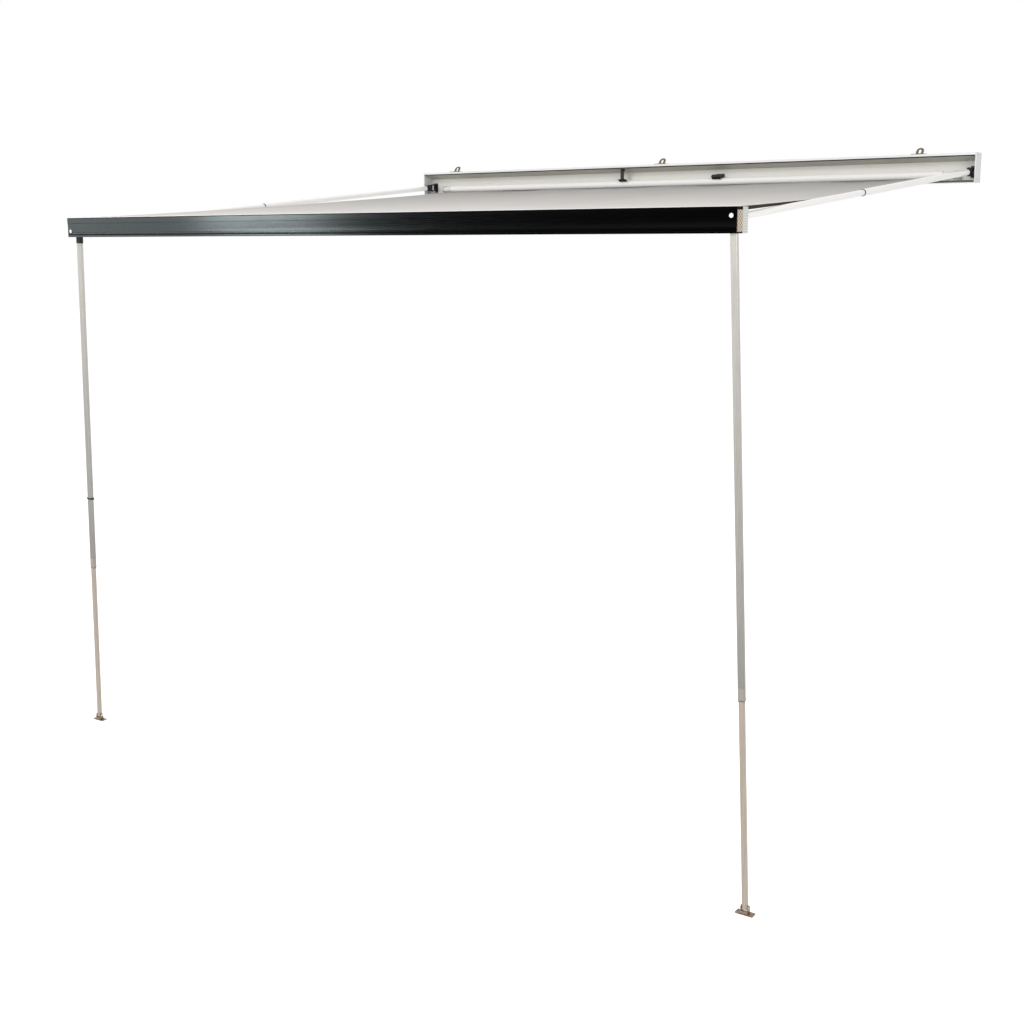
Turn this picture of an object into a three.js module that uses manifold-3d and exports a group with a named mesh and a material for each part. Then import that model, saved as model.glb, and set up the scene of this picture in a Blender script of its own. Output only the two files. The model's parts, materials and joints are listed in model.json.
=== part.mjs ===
// A compact wall-mounted roll-out awning for a camper, pulled out fully and standing on its two legs.
// Millimetres, +Z up. The wall is the plane y = 0 and the awning opens towards -Y.
// The origin is on the back of the middle wall bracket, at half the height of the case.

import * as THREE from 'three';
import { mergeVertices } from 'three/addons/utils/BufferGeometryUtils.js';
import Module from 'manifold-3d';

const wasm = await Module();
wasm.setup();

// The awning as a whole
const awningLength = 3000;
const projection = 2390;
const barDrop = 200;
const standingHeight = 2133;
const seatGap = 0.3;
const overrun = 6;
const roundSides = 24;
const smallSides = 16;
const smallRadius = 9;
const cornerStep = 22.5;

// Case
const caseDepth = 76;
const caseHeight = 126;
const caseWall = 2;
const caseTopLip = 10;
const caseBottomLip = 12;
const caseFrontRadius = 4;
const caseBackRadius = 2.5;
const caseWebFoot = 94;
const endCapThickness = 5;
const endCapRadius = 4;
const endCapRib = 2;
const endCapRibLength = 8;

// Wall brackets and their bolts
const bracketInsets = { left: 183, right: 267 };
const middleBracketPlace = -53;
const bracketThickness = 4;
const bracketWidth = 60;
const bracketProng = 45;
const earLean = 24;
const earWidth = 34;
const earHeight = 31;
const earSlotWidth = 12;
const earSlotHeight = 16;
const earArch = 8;
const bracketBend = 2;
const boltRadius = 4;
const boltHeadRadius = 8;
const boltHeadDepth = 3;
const boltHeadRim = 0.6;
const boltRise = 32;

// Roller, with the canopy that is still wound on it
const rollerSetback = 53;
const rollerHeight = 37;
const rollerRadius = 13;
const rollerWall = 1.5;
const rollerInset = 108;
const rollRadius = 17;
const rollInset = 155;
const rollStep = 0.6;
const plugDepth = 20;
const plugFlange = 4;
const axleRadius = 4;
const axleRingRadius = 6.5;
const axleRingWidth = 2;
const bearingThickness = 10;
const bearingClearance = 3.7;
const bearingNose = 9;
const bearingRoot = 18;
const bearingFoot = 4;
const bearingFootWidth = 32;

// Rafters, each of two tubes that slide in one another
const rafterInset = 30;
const rafterSetback = 18;
const rafterHeight = 45;
const rafterBarHeight = 47.5;
const rafterRadius = 12.5;
const rafterWall = 1.5;
const rafterSlideGap = 0.4;
const rafterInnerWall = 1.4;
const rafterOuterStart = 40;
const rafterOuterEnd = 1300;
const rafterOverlap = 200;
const rafterPlug = 55;
const hubRadius = 12;
const hubHeight = 26;
const hubStopWidth = 8;
const hingePinRadius = 4;
const hingePinHead = 7;
const hingePinHeadHeight = 2.5;
const lugThickness = 5;
const hingePlateThickness = 4;
const hingePlateBottom = 22;
const hingePlateTop = 71;
const bushLength = 5;
const tipPlug = 50;
const tipFlange = 8;
const tongueLength = 36;
const tongueWidth = 20;
const tongueHeight = 12;
const tongueHoleRadius = 3;
const tongueClearance = 2.5;

// Catches on the lead bar that the rafter tongues lie in
const catchPlateThickness = 4;
const catchPlateHeight = 46;
const catchPlateWidth = 40;
const catchClearance = 0.6;
const catchShelf = 4;
const catchRadius = 2;

// Clips in the case that hold the folded rafters
const longClipPlace = -256;
const longClipWidth = 46;
const longClipArc = [15, 100];
const longClipNeck = 20;
const longClipFlange = 16;
const shortClipPlace = 261;
const shortClipWidth = 47;
const shortClipArc = [10, 95];
const shortClipArm = 12;
const shortClipFoot = 16;
const clipClearance = 0.6;
const clipThickness = 2.5;
const rollClearance = 3;

// Closing catches on the bottom lip of the case
const catchInset = 67;
const latchWidth = 24;
const latchDepth = 16;
const latchBase = 3;
const latchEar = 3.5;
const latchPivotHeight = 11.5;
const latchPivotSetback = 10;
const latchEarRadius = 4.5;
const latchPinRadius = 2;
const latchHubRadius = 4;
const latchKnobHeight = 21;
const latchKnobRadius = 6;
const latchKnobDepth = 7;

// Lead bar
const barDepth = 76;
const barHeight = 77;
const barWall = 2.5;
const barWebPlace = 60;
const barTopRadius = 3;
const barInnerRadius = 1.5;
const bandTop = 55;
const bandBottom = 18;
const bandRecess = 0.8;
const dripHeight = 8.3;
const dripWidth = 2;
const beadSetback = 8.5;
const beadDepth = 7;
const beadGrooveRadius = 4;
const beadSlot = 2.6;
const beadGrooveWall = 1.8;
const beadRadius = 3.4;
const beadNeck = 1.2;
const barCapThickness = 3.2;
const barTopLip = 8.5;
const barBottomLip = 4;
const barCapSplit = 40;
const barCapRadius = 3;
const barCapTongue = 5;

// Canopy
const canopyInset = 14;
const canopyThickness = 1.2;
const canopySag = 8;
const canopyBays = 16;
const canopyHem = 4;

// Legs, each of two tubes that slide in one another
const legInset = 14.5;
const legSetbacks = { left: 43, right: 18 };
const legPivotHeights = { left: 23.5, right: 51.4 };
const legKnuckleLengths = { left: 48.5, right: 30 };
const legSplay = 100;
const legWidth = 22;
const legDepth = 18;
const legRadius = 4;
const legWall = 1.5;
const legSlideGap = 0.4;
const legInnerWall = 1.3;
const legInnerRadius = 2.1;
const legOuterBelowBar = 1381;
const legOverlap = 200;
const legPlug = 60;
const legEndBelowPin = 6;
const legPinRadius = 3;
const legPinHeadRadius = 7;
const legPinHeadHeight = 1.5;
const legSpacerRadius = 6;
const legNutRadius = 5;
const legNutHeight = 4;
const collarLength = 41;
const collarLip = 0.5;
const collarLipHeight = 6;
const ringBelowBar = 1110;
const ringWall = 1.6;
const ringLength = 6;
const ringEar = 7.5;
const ringEarThickness = 6;

// Feet
const footPinHeight = 22;
const footWidth = 62;
const footDepth = 28;
const footThickness = 3;
const footRadius = 4;
const cheekClearance = 1.5;
const cheekThickness = 2.5;
const cheekRadius = 8;
const cheekDepth = 18;
const footWebSetback = 2.6;
const footWebThickness = 2;
const footWebHeight = 10;
const footPinRadius = 3;
const footPinHead = 5.5;
const footPinHeadHeight = 3;
const footHolePlay = 1.2;

// Planes that the pieces share
const caseBack = -(bracketThickness + seatGap);
const caseFront = caseBack - caseDepth;
const caseTop = caseHeight / 2;
const caseBottom = -caseHeight / 2;
const caseInnerBack = caseBack - caseWall;
const caseInnerTop = caseTop - caseWall;
const caseInnerBottom = caseBottom + caseWall;
const caseHalf = awningLength / 2 - endCapThickness - seatGap;
const lipBack = caseFront + caseWall;
const webFoot = caseBottom + caseWebFoot;
const webSlope = (caseHeight - caseTopLip - caseWebFoot) / (caseInnerBack - lipBack);
const barFront = caseFront - projection;
const barBottom = caseBottom - barDrop;
const barHalf = awningLength / 2;
const rollerY = caseFront + rollerSetback;
const rollerZ = caseBottom + rollerHeight;
const rollerLength = awningLength - 2 * rollerInset;
const rollLength = awningLength - 2 * rollInset;
const canopyHalfAtBar = barHalf - canopyInset;
const hingeX = awningLength / 2 - rafterInset;
const hingeY = caseFront + rafterSetback;
const hingeZ = caseBottom + rafterHeight;

// The rafters run from the hinges down to the back of the lead bar
const rafterRun = hingeY - (barFront + barDepth);
const rafterFall = hingeZ - (barBottom + rafterBarHeight);
const rafterSlope = Math.atan2(rafterFall, rafterRun);
const rafterReach = Math.hypot(rafterRun, rafterFall);
const rafterBore = rafterRadius - rafterWall;
const rafterInnerRadius = rafterBore - rafterSlideGap;
const rafterInnerBore = rafterInnerRadius - rafterInnerWall;
const rafterTipLength = seatGap + tipFlange + tongueLength + tongueClearance + catchPlateThickness;
const rafterInnerEnd = rafterReach - rafterTipLength;

const sides = { left: -1, right: 1 };
const bracketPlaces = {
  left: bracketInsets.left - awningLength / 2,
  middle: middleBracketPlace,
  right: awningLength / 2 - bracketInsets.right,
};

// Colours and surfaces
const finishes = {
  whitePaint: { color: 0xe9eaea, roughness: 0.35, metalness: 0.1 },
  whitePlastic: { color: 0xdfe1e1, roughness: 0.5, metalness: 0 },
  blackPlastic: { color: 0x1c1c1d, roughness: 0.55, metalness: 0 },
  greyPlastic: { color: 0x8c8f93, roughness: 0.55, metalness: 0 },
  ribbedPlastic: { color: 0xb7b8ba, roughness: 0.6, metalness: 0 },
  tanPlastic: { color: 0xb09a78, roughness: 0.65, metalness: 0 },
  bronzeSteel: { color: 0x4a3f38, roughness: 0.5, metalness: 0.6 },
  zincSteel: { color: 0xb4b5b3, roughness: 0.35, metalness: 0.9 },
  blackAluminium: { color: 0x151617, roughness: 0.35, metalness: 0.5 },
  whiteAluminium: { color: 0xdcdcda, roughness: 0.35, metalness: 0.3 },
  greyAluminium: { color: 0xb3aea8, roughness: 0.4, metalness: 0.5 },
  brownSteel: { color: 0x77695d, roughness: 0.5, metalness: 0.6 },
  canopyFabric: { color: 0xcfccc6, roughness: 0.9, metalness: 0 },
};

// Adds one named piece to its group.
function piece(parent, name, geometry, finish) {
  const mesh = new THREE.Mesh(geometry, new THREE.MeshStandardMaterial(finish));
  mesh.name = name;
  parent.add(mesh);
  return mesh;
}

// Points of an arc about a centre, between two angles in radians.
function arc(x, y, radius, from, to) {
  const steps = Math.max(Math.ceil(Math.abs(to - from) / THREE.MathUtils.degToRad(cornerStep)), 1);
  const points = [];
  for (let i = 0; i <= steps; i++) {
    const angle = from + (to - from) * i / steps;
    points.push([x + radius * Math.cos(angle), y + radius * Math.sin(angle)]);
  }
  return points;
}

// Sides of the polygon that stands for a circle of a radius.
function sidesOf(radius) {
  return radius < smallRadius ? smallSides : roundSides;
}

// Points of a full circle.
function circle(x, y, radius) {
  const points = [];
  const count = sidesOf(radius);
  for (let i = 0; i < count; i++) {
    const angle = 2 * Math.PI * i / count;
    points.push([x + radius * Math.cos(angle), y + radius * Math.sin(angle)]);
  }
  return points;
}

// A closed outline of corners [x, y, radius], with each corner that has a radius rounded off.
function outline(corners) {
  const points = [];
  corners.forEach(([x, y, radius = 0], i) => {
    if (radius === 0) {
      points.push([x, y]);
      return;
    }
    const corner = new THREE.Vector2(x, y);
    const before = new THREE.Vector2(...corners.at(i - 1).slice(0, 2)).sub(corner).normalize();
    const after = new THREE.Vector2(...corners[(i + 1) % corners.length].slice(0, 2)).sub(corner).normalize();
    const half = Math.acos(before.dot(after)) / 2;
    const centre = before.clone().add(after).setLength(radius / Math.sin(half)).add(corner);
    const start = before.multiplyScalar(radius / Math.tan(half)).add(corner).sub(centre).angle();
    const end = after.multiplyScalar(radius / Math.tan(half)).add(corner).sub(centre).angle();
    const turn = Math.atan2(Math.sin(end - start), Math.cos(end - start));
    points.push(...arc(centre.x, centre.y, radius, start, start + turn));
  });
  return points;
}

// A rectangle between two corners, rounded by a radius.
function rectangle(x0, y0, x1, y1, radius = 0) {
  return outline([[x0, y0, radius], [x1, y0, radius], [x1, y1, radius], [x0, y1, radius]]);
}

// A flat outline with holes, drawn out to a depth along +Z.
function drawn(points, depth, holes) {
  const shape = new THREE.Shape(points.map(([x, y]) => new THREE.Vector2(x, y)));
  for (const hole of holes) {
    shape.holes.push(new THREE.Path(hole.map(([x, y]) => new THREE.Vector2(x, y))));
  }
  return new THREE.ExtrudeGeometry(shape, { depth, bevelEnabled: false });
}

// An outline in Y and Z, drawn out along X between two places.
function alongX(points, one, other, holes = []) {
  const geometry = drawn(points, Math.abs(other - one), holes);
  return geometry.rotateX(Math.PI / 2).rotateZ(Math.PI / 2).translate(Math.min(one, other), 0, 0);
}

// An outline in X and Z, drawn out along Y between two places.
function alongY(points, one, other, holes = []) {
  const geometry = drawn(points, Math.abs(other - one), holes);
  return geometry.rotateX(Math.PI / 2).translate(0, Math.max(one, other), 0);
}

// An outline in X and Y, drawn out along Z between two heights.
function alongZ(points, one, other, holes = []) {
  return drawn(points, Math.abs(other - one), holes).translate(0, 0, Math.min(one, other));
}

// A profile of [radius, height] turned about the Z axis.
function turned(profile, segments = sidesOf(Math.max(...profile.map(([radius]) => radius)))) {
  const points = profile.map(([radius, height]) => new THREE.Vector2(radius, height));
  return new THREE.LatheGeometry(points, segments).rotateX(Math.PI / 2);
}

// A geometry as a solid that can be joined and cut.
function solid(geometry) {
  const plain = geometry.clone();
  plain.deleteAttribute('normal');
  plain.deleteAttribute('uv');
  const merged = mergeVertices(plain);
  const corners = merged.index.array;
  const kept = [];
  for (let i = 0; i < corners.length; i += 3) {
    const [a, b, c] = [corners[i], corners[i + 1], corners[i + 2]];
    if (a !== b && b !== c && c !== a) kept.push(a, b, c);
  }
  return new wasm.Manifold(new wasm.Mesh({
    numProp: 3,
    vertProperties: merged.attributes.position.array,
    triVerts: Uint32Array.from(kept),
  }));
}

// A solid as a geometry.
function shaped(manifold) {
  const mesh = manifold.getMesh();
  const geometry = new THREE.BufferGeometry();
  geometry.setAttribute('position', new THREE.BufferAttribute(mesh.vertProperties, 3));
  geometry.setIndex(new THREE.BufferAttribute(mesh.triVerts, 1));
  geometry.computeVertexNormals();
  return geometry;
}

function joined(first, ...others) {
  return shaped(others.reduce((whole, other) => whole.add(solid(other)), solid(first)));
}

function cut(first, ...others) {
  return shaped(others.reduce((whole, other) => whole.subtract(solid(other)), solid(first)));
}

function common(first, other) {
  return shaped(solid(first).intersect(solid(other)));
}

// Case: a C-shaped section that opens to the front, with a web that slants down from its top lip
function caseProfile() {
  const lipBottom = caseTop - caseTopLip;
  const webRise = caseWall / Math.cos(Math.atan(webSlope));
  const section = outline([
    [caseFront, caseBottom + caseBottomLip],
    [caseFront, caseBottom, caseFrontRadius],
    [caseBack, caseBottom, caseBackRadius],
    [caseBack, caseTop, caseBackRadius],
    [caseFront, caseTop, caseFrontRadius],
    [caseFront, lipBottom],
    [lipBack, lipBottom],
    [caseInnerBack, webFoot],
    [caseInnerBack, caseInnerBottom],
    [lipBack, caseInnerBottom, caseFrontRadius - caseWall],
    [lipBack, caseBottom + caseBottomLip],
  ]);
  const chamber = outline([
    [lipBack, lipBottom + webRise],
    [caseInnerBack, webFoot + webRise],
    [caseInnerBack, caseInnerTop],
    [lipBack, caseInnerTop, caseFrontRadius - caseWall],
  ]);
  return cut(
    alongX(section, -caseHalf, caseHalf),
    alongX(chamber, -awningLength, awningLength),
  );
}

// Case end cap: a plate with a rib that seats inside the floor and the back of the case
function caseEndCap(side) {
  const inner = caseHalf + seatGap;
  const plate = rectangle(caseFront, caseBottom, caseBack, caseTop, endCapRadius);
  const front = caseFront + caseFrontRadius + seatGap;
  const floor = caseInnerBottom + seatGap;
  const back = caseInnerBack - seatGap;
  const rib = outline([
    [front, floor],
    [back, floor],
    [back, webFoot - seatGap],
    [back - endCapRib, webFoot - seatGap],
    [back - endCapRib, floor + endCapRib],
    [front, floor + endCapRib],
  ]);
  return joined(
    alongX(plate, side * inner, side * (inner + endCapThickness)),
    alongX(rib, side * (caseHalf - endCapRibLength), side * (inner + endCapThickness / 2)),
  );
}

// Wall bracket: a bent strap behind and over the case, with an arched ear that leans back to the wall
function wallBracket() {
  const prongBottom = caseTop + seatGap;
  const prongTop = prongBottom + bracketThickness;
  const earTop = caseTop + earHeight;
  const strap = outline([
    [0, caseBottom],
    [0, prongTop, bracketBend],
    [-bracketProng, prongTop, bracketBend],
    [-bracketProng, prongBottom],
    [-bracketThickness, prongBottom],
    [-bracketThickness, caseBottom],
  ]);
  const ear = outline([
    [bracketThickness - earLean, prongTop - bracketThickness / 2],
    [0, earTop],
    [-bracketThickness, earTop],
    [-earLean, prongTop - bracketThickness / 2],
  ]);
  const wide = bracketWidth / 2;
  const narrow = earWidth / 2;
  const face = outline([
    [-narrow, prongBottom],
    [narrow, prongBottom],
    [narrow, earTop, narrow - bracketBend],
    [-narrow, earTop, narrow - bracketBend],
  ]);
  const slotTop = earTop - earArch;
  const slotHalf = earSlotWidth / 2;
  const slot = rectangle(-slotHalf, slotTop - earSlotHeight, slotHalf, slotTop, slotHalf - bracketBend);
  const bent = joined(
    alongX(strap, -wide, wide),
    common(alongX(ear, -wide, wide), alongY(face, -earLean - overrun, overrun, [slot])),
  );
  return cut(bent, wallBolt(seatGap));
}

// Wall bolt, countersunk in the strap behind the case; with some play it is the hole for one
function wallBolt(play = 0) {
  const bolt = turned([
    [0, -bracketThickness - play],
    [boltRadius + play, -bracketThickness - play],
    [boltRadius + play, -boltHeadDepth - play],
    [boltHeadRadius + play, -boltHeadRim - play],
    [boltHeadRadius + play, play],
    [0, play],
  ]);
  return bolt.rotateX(Math.PI / 2).translate(0, -bracketThickness, boltRise);
}

// Fabric on the roller: its outer turn ends in a step where the canopy leaves it
function fabricRoll() {
  const spiral = [];
  for (let i = 0; i <= roundSides; i++) {
    const turnShare = i / roundSides;
    const angle = -Math.PI / 2 + 2 * Math.PI * turnShare;
    const radius = rollRadius - rollStep * (1 - turnShare);
    spiral.push([radius * Math.cos(angle), radius * Math.sin(angle)]);
  }
  return alongX(spiral, -rollLength / 2, rollLength / 2, [circle(0, 0, rollerRadius + seatGap)]);
}

function rollerPlug(side) {
  const bore = axleRadius + seatGap;
  const fit = rollerRadius - rollerWall - seatGap;
  const plug = turned([
    [bore, -plugDepth],
    [fit, -plugDepth],
    [fit, seatGap],
    [rollerRadius, seatGap],
    [rollerRadius, plugFlange],
    [bore, plugFlange],
    [bore, -plugDepth],
  ]);
  return plug.rotateY(side * Math.PI / 2).translate(side * rollerLength / 2, 0, 0);
}

// Bearing: a nosed plate on the back wall of the case that holds the end of the axle
function rollerBearing(side) {
  const inner = rollerLength / 2 + plugFlange + bearingClearance;
  const outer = inner + bearingThickness;
  const back = caseInnerBack - seatGap - rollerY;
  const nose = outline([
    [back, -bearingRoot],
    [back, bearingRoot],
    [-bearingNose, bearingNose, bearingNose - seatGap],
    [-bearingNose, -bearingNose, bearingNose - seatGap],
  ]);
  const foot = rectangle(back - bearingFoot, -bearingRoot, back, bearingRoot);
  const middle = (inner + outer) / 2;
  const half = bearingFootWidth / 2;
  const body = joined(
    alongX(nose, side * inner, side * outer),
    alongX(foot, side * (middle - half), side * (middle + half)),
  );
  const bore = circle(0, 0, axleRadius + seatGap);
  return cut(body, alongX(bore, side * (inner - overrun), side * (outer + overrun)));
}

function rollerAxle() {
  const ringInner = rollerLength / 2 + plugFlange + bearingClearance + bearingThickness + seatGap;
  const end = ringInner + axleRingWidth;
  const axle = turned([
    [0, -end],
    [axleRingRadius, -end],
    [axleRingRadius, -ringInner],
    [axleRadius, -ringInner],
    [axleRadius, ringInner],
    [axleRingRadius, ringInner],
    [axleRingRadius, end],
    [0, end],
  ]);
  return axle.rotateY(Math.PI / 2);
}

// Rafter hinge bracket: a plate on the back wall and two lugs square to the hinge pin
function rafterBracket(hinge) {
  const plateBack = caseInnerBack - seatGap;
  const lugInner = hubHeight / 2 + seatGap;
  const lugOuter = lugInner + lugThickness;
  const lugBack = (plateBack - hingePlateThickness / 2 - hingeY) / Math.cos(rafterSlope);
  const round = rafterRadius;
  const lug = outline([
    [-round, lugBack],
    [round, lugBack],
    [round, -round, round - seatGap],
    [-round, -round, round - seatGap],
  ]);
  const hole = circle(0, 0, hingePinRadius + seatGap);
  const plate = rectangle(
    -round,
    caseBottom + hingePlateBottom,
    round,
    caseBottom + hingePlateTop,
    catchRadius,
  );
  const lugs = [lugInner, -lugOuter].map((low) => {
    return alongZ(lug, low, low + lugThickness, [hole]).applyMatrix4(hinge.matrix);
  });
  const base = alongY(plate, plateBack - hingePlateThickness, plateBack).translate(hinge.position.x, 0, 0);
  return joined(base, ...lugs);
}

function hingePin() {
  const top = hubHeight / 2 + seatGap + lugThickness + seatGap;
  const head = top + hingePinHeadHeight;
  return turned([
    [0, -head],
    [hingePinRadius + hingePinHeadHeight, -head],
    [hingePinRadius + hingePinHeadHeight, -top],
    [hingePinRadius, -top],
    [hingePinRadius, top],
    [hingePinHead, top],
    [hingePinHead, head],
    [0, head],
  ]);
}

// Rafter knuckle: a hub on the hinge pin, a stop for the tube and a plug inside it
function rafterKnuckle() {
  const hub = alongZ(circle(0, 0, hubRadius), -hubHeight / 2, hubHeight / 2);
  const plug = alongY(circle(0, 0, rafterBore - seatGap), -rafterOuterStart - rafterPlug, 0);
  const stopEnd = -rafterOuterStart + seatGap;
  const stop = alongY(circle(0, 0, rafterRadius), stopEnd, stopEnd + hubStopWidth);
  const bore = alongZ(circle(0, 0, hingePinRadius + seatGap), -hubHeight, hubHeight);
  return cut(joined(hub, plug, stop), bore);
}

function rafterTube(radius, wall, start, end) {
  return alongY(circle(0, 0, radius), -start, -end, [circle(0, 0, radius - wall)]);
}

// Bush: a ring on the end of the outer tube that guides the inner one
function rafterBush() {
  const start = rafterOuterEnd + seatGap;
  const bore = circle(0, 0, rafterInnerRadius + seatGap);
  return alongY(circle(0, 0, rafterRadius), -start, -start - bushLength, [bore]);
}

// Rafter tip: a plug in the inner tube with a flat tongue that lies in the catch on the lead bar
function rafterTip() {
  const flangeStart = rafterInnerEnd + seatGap;
  const flangeEnd = flangeStart + tipFlange;
  const plug = alongY(circle(0, 0, rafterInnerBore - seatGap), -rafterInnerEnd + tipPlug, -flangeEnd);
  const flange = alongY(circle(0, 0, rafterInnerRadius), -flangeStart, -flangeEnd);
  const half = tongueWidth / 2;
  const end = -flangeEnd - tongueLength;
  const tongue = outline([
    [-half, -flangeStart],
    [-half, end, half / 2],
    [half, end, half / 2],
    [half, -flangeStart],
  ]);
  const hole = circle(0, end + half, tongueHoleRadius);
  return joined(plug, flange, alongZ(tongue, -tongueHeight / 2, tongueHeight / 2, [hole]));
}

// Catch on the back of the lead bar: two shelves and an outboard wall, open inboard and to the rear
function rafterCatch(side, hinge) {
  const plateBack = barFront + barDepth + seatGap;
  const middle = barBottom + rafterBarHeight;
  const halfHeight = catchPlateHeight / 2;
  const halfWidth = catchPlateWidth / 2;
  const plate = rectangle(-halfWidth, middle - halfHeight, halfWidth, middle + halfHeight, catchRadius);
  const base = alongY(plate, plateBack, plateBack + catchPlateThickness).translate(hinge.position.x, 0, 0);
  const gapHalf = tongueHeight / 2 + catchClearance;
  const wallInner = tongueWidth / 2 + catchClearance;
  const wallOuter = wallInner + catchShelf;
  const start = -rafterReach + catchPlateThickness / 2;
  const end = -(rafterInnerEnd + tipFlange + catchShelf);
  const shelf = rectangle(-side * halfWidth, start, side * wallOuter, end);
  const wall = rectangle(side * wallInner, start, side * wallOuter, end);
  const shelves = [gapHalf, -gapHalf - catchShelf].map((low) => {
    return alongZ(shelf, low, low + catchShelf).applyMatrix4(hinge.matrix);
  });
  const wallHalf = gapHalf + catchShelf / 2;
  const outboard = alongZ(wall, -wallHalf, wallHalf).applyMatrix4(hinge.matrix);
  return joined(base, ...shelves, outboard);
}

// Cradle of a clip: it hooks over the folded rafter from behind, from one angle to the other
function cradle([from, to]) {
  const inner = rafterRadius + clipClearance;
  const start = THREE.MathUtils.degToRad(from);
  const end = THREE.MathUtils.degToRad(to);
  return [
    ...arc(hingeY, hingeZ, inner + clipThickness, start, end),
    ...arc(hingeY, hingeZ, inner, end, start),
  ];
}

// Long clip: its narrow neck hangs from a flange under the web
function longClip() {
  const half = longClipWidth / 2;
  const neckHalf = longClipNeck / 2;
  const front = hingeY + (rafterRadius - clipThickness) / 2;
  const neckBack = front + clipThickness;
  const flangeBack = neckBack + longClipFlange;
  const underWeb = (y) => webFoot + (caseInnerBack - y) * webSlope - seatGap;
  const neck = outline([
    [front, hingeZ + rafterRadius + clipClearance],
    [neckBack, hingeZ + rafterRadius + clipClearance],
    [neckBack, underWeb(neckBack) - clipThickness / 2],
    [front, underWeb(front) - clipThickness / 2],
  ]);
  const flange = outline([
    [front, underWeb(front) - clipThickness],
    [flangeBack, underWeb(flangeBack) - clipThickness],
    [flangeBack, underWeb(flangeBack)],
    [front, underWeb(front)],
  ]);
  const clip = joined(
    alongX(cradle(longClipArc), -half, half),
    alongX(neck, -neckHalf, neckHalf),
    alongX(flange, -neckHalf, neckHalf),
  );
  return clip.translate(longClipPlace, 0, 0);
}

// Short clip: its arm reaches over the roll to a foot on the back wall
function shortClip() {
  const half = shortClipWidth / 2;
  const front = hingeY + rafterRadius / 2;
  const back = caseInnerBack - seatGap;
  const low = rollerZ + rollRadius + rollClearance;
  const round = shortClipArm / 2 - seatGap;
  const clip = joined(
    alongX(cradle(shortClipArc), -half, half),
    alongY(rectangle(-half, low, half, low + shortClipArm, round), front, back),
    alongY(rectangle(-half, low, half, low + shortClipFoot, round), back - clipThickness, back),
  );
  return clip.translate(shortClipPlace, 0, 0);
}

// Closing catch: a base with two ears on the floor of the case, just behind its bottom lip
function latchSeat() {
  const front = caseFront + caseFrontRadius + seatGap;
  const floor = caseInnerBottom + seatGap;
  const half = latchWidth / 2;
  const pivotY = caseFront + latchPivotSetback;
  const pivotZ = caseBottom + latchPivotHeight;
  const ear = outline([
    [pivotY - latchEarRadius, floor],
    [pivotY + latchEarRadius, floor],
    [pivotY + latchEarRadius, pivotZ + latchEarRadius, latchEarRadius - seatGap],
    [pivotY - latchEarRadius, pivotZ + latchEarRadius, latchEarRadius - seatGap],
  ]);
  const hole = circle(pivotY, pivotZ, latchPinRadius + seatGap);
  return joined(
    alongX(rectangle(front, floor, front + latchDepth, floor + latchBase), -half, half),
    alongX(ear, half - latchEar, half, [hole]),
    alongX(ear, -half, -half + latchEar, [hole]),
  );
}

// Lever of the closing catch, drawn about its pivot
function latchLever() {
  const inner = latchWidth / 2 - latchEar - seatGap;
  const knobRise = latchKnobHeight - latchPivotHeight;
  const knobFront = -latchPivotSetback;
  const arm = outline([
    [-latchHubRadius, -latchHubRadius, latchHubRadius - seatGap],
    [latchHubRadius, -latchHubRadius, latchHubRadius - seatGap],
    [latchHubRadius, 0],
    [knobFront + latchKnobDepth, knobRise + latchHubRadius],
    [knobFront + latchKnobDepth / 2, knobRise + latchHubRadius],
    [knobFront + latchKnobDepth / 2, knobRise - latchHubRadius],
    [-latchHubRadius, 0],
  ]);
  return joined(
    alongX(arm, -inner, inner),
    alongX(circle(0, 0, latchPinRadius), -latchWidth / 2, latchWidth / 2),
    alongY(circle(0, knobRise, latchKnobRadius), knobFront, knobFront + latchKnobDepth),
  );
}

// Lead bar: a channel open at the bottom for the folded legs, a closed chamber behind it,
// a groove on top for the bead of the canopy, and a shallow band along the front
function leadBarProfile() {
  const beadY = barDepth - beadSetback;
  const beadZ = barHeight - beadDepth;
  const slotHalf = beadSlot / 2;
  const mouth = Math.acos(slotHalf / beadGrooveRadius);
  const groove = arc(beadY, beadZ, beadGrooveRadius, mouth, -Math.PI - mouth);
  const section = outline([
    [0, 0],
    [barWall, 0],
    [barWall, barHeight - barWall, barInnerRadius],
    [barWebPlace, barHeight - barWall, barInnerRadius],
    [barWebPlace, 0],
    [barDepth, 0, barInnerRadius],
    [barDepth, barHeight, barTopRadius],
    [beadY + slotHalf, barHeight],
    ...groove,
    [beadY - slotHalf, barHeight],
    [0, barHeight, barTopRadius],
    [0, bandTop],
    [bandRecess, bandTop - bandRecess],
    [bandRecess, bandBottom + bandRecess],
    [0, bandBottom],
    [0, dripHeight + dripWidth / 2],
    [bandRecess, dripHeight],
    [0, dripHeight - dripWidth / 2],
  ]);
  const chamber = rectangle(
    barWebPlace + barWall,
    barWall,
    barDepth - barWall,
    beadZ - beadGrooveRadius - beadGrooveWall,
    barInnerRadius,
  );
  const reach = barHalf + barCapThickness;
  const lipEnd = barCapSplit - seatGap;
  const rear = rectangle(lipEnd, -overrun, barDepth + overrun, barHeight + overrun);
  const topLip = rectangle(0, barHeight - barTopLip, lipEnd, barHeight, barTopRadius);
  const bottomLip = rectangle(0, 0, lipEnd, barBottomLip);
  const holes = Object.entries(sides).map(([name, side]) => {
    const hole = circle(side * (barHalf - legInset), legPivotHeights[name], legPinRadius + seatGap);
    return alongY(hole, -overrun, barWebPlace + barWall + overrun);
  });
  const rebates = Object.values(sides).map((side) => alongX(rear, side * barHalf, side * (reach + overrun)));
  const lips = Object.values(sides).flatMap((side) => {
    return [topLip, bottomLip].map((lip) => alongX(lip, side * barHalf, side * reach));
  });
  return joined(cut(alongX(section, -reach, reach, [chamber]), ...holes, ...rebates), ...lips);
}

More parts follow.
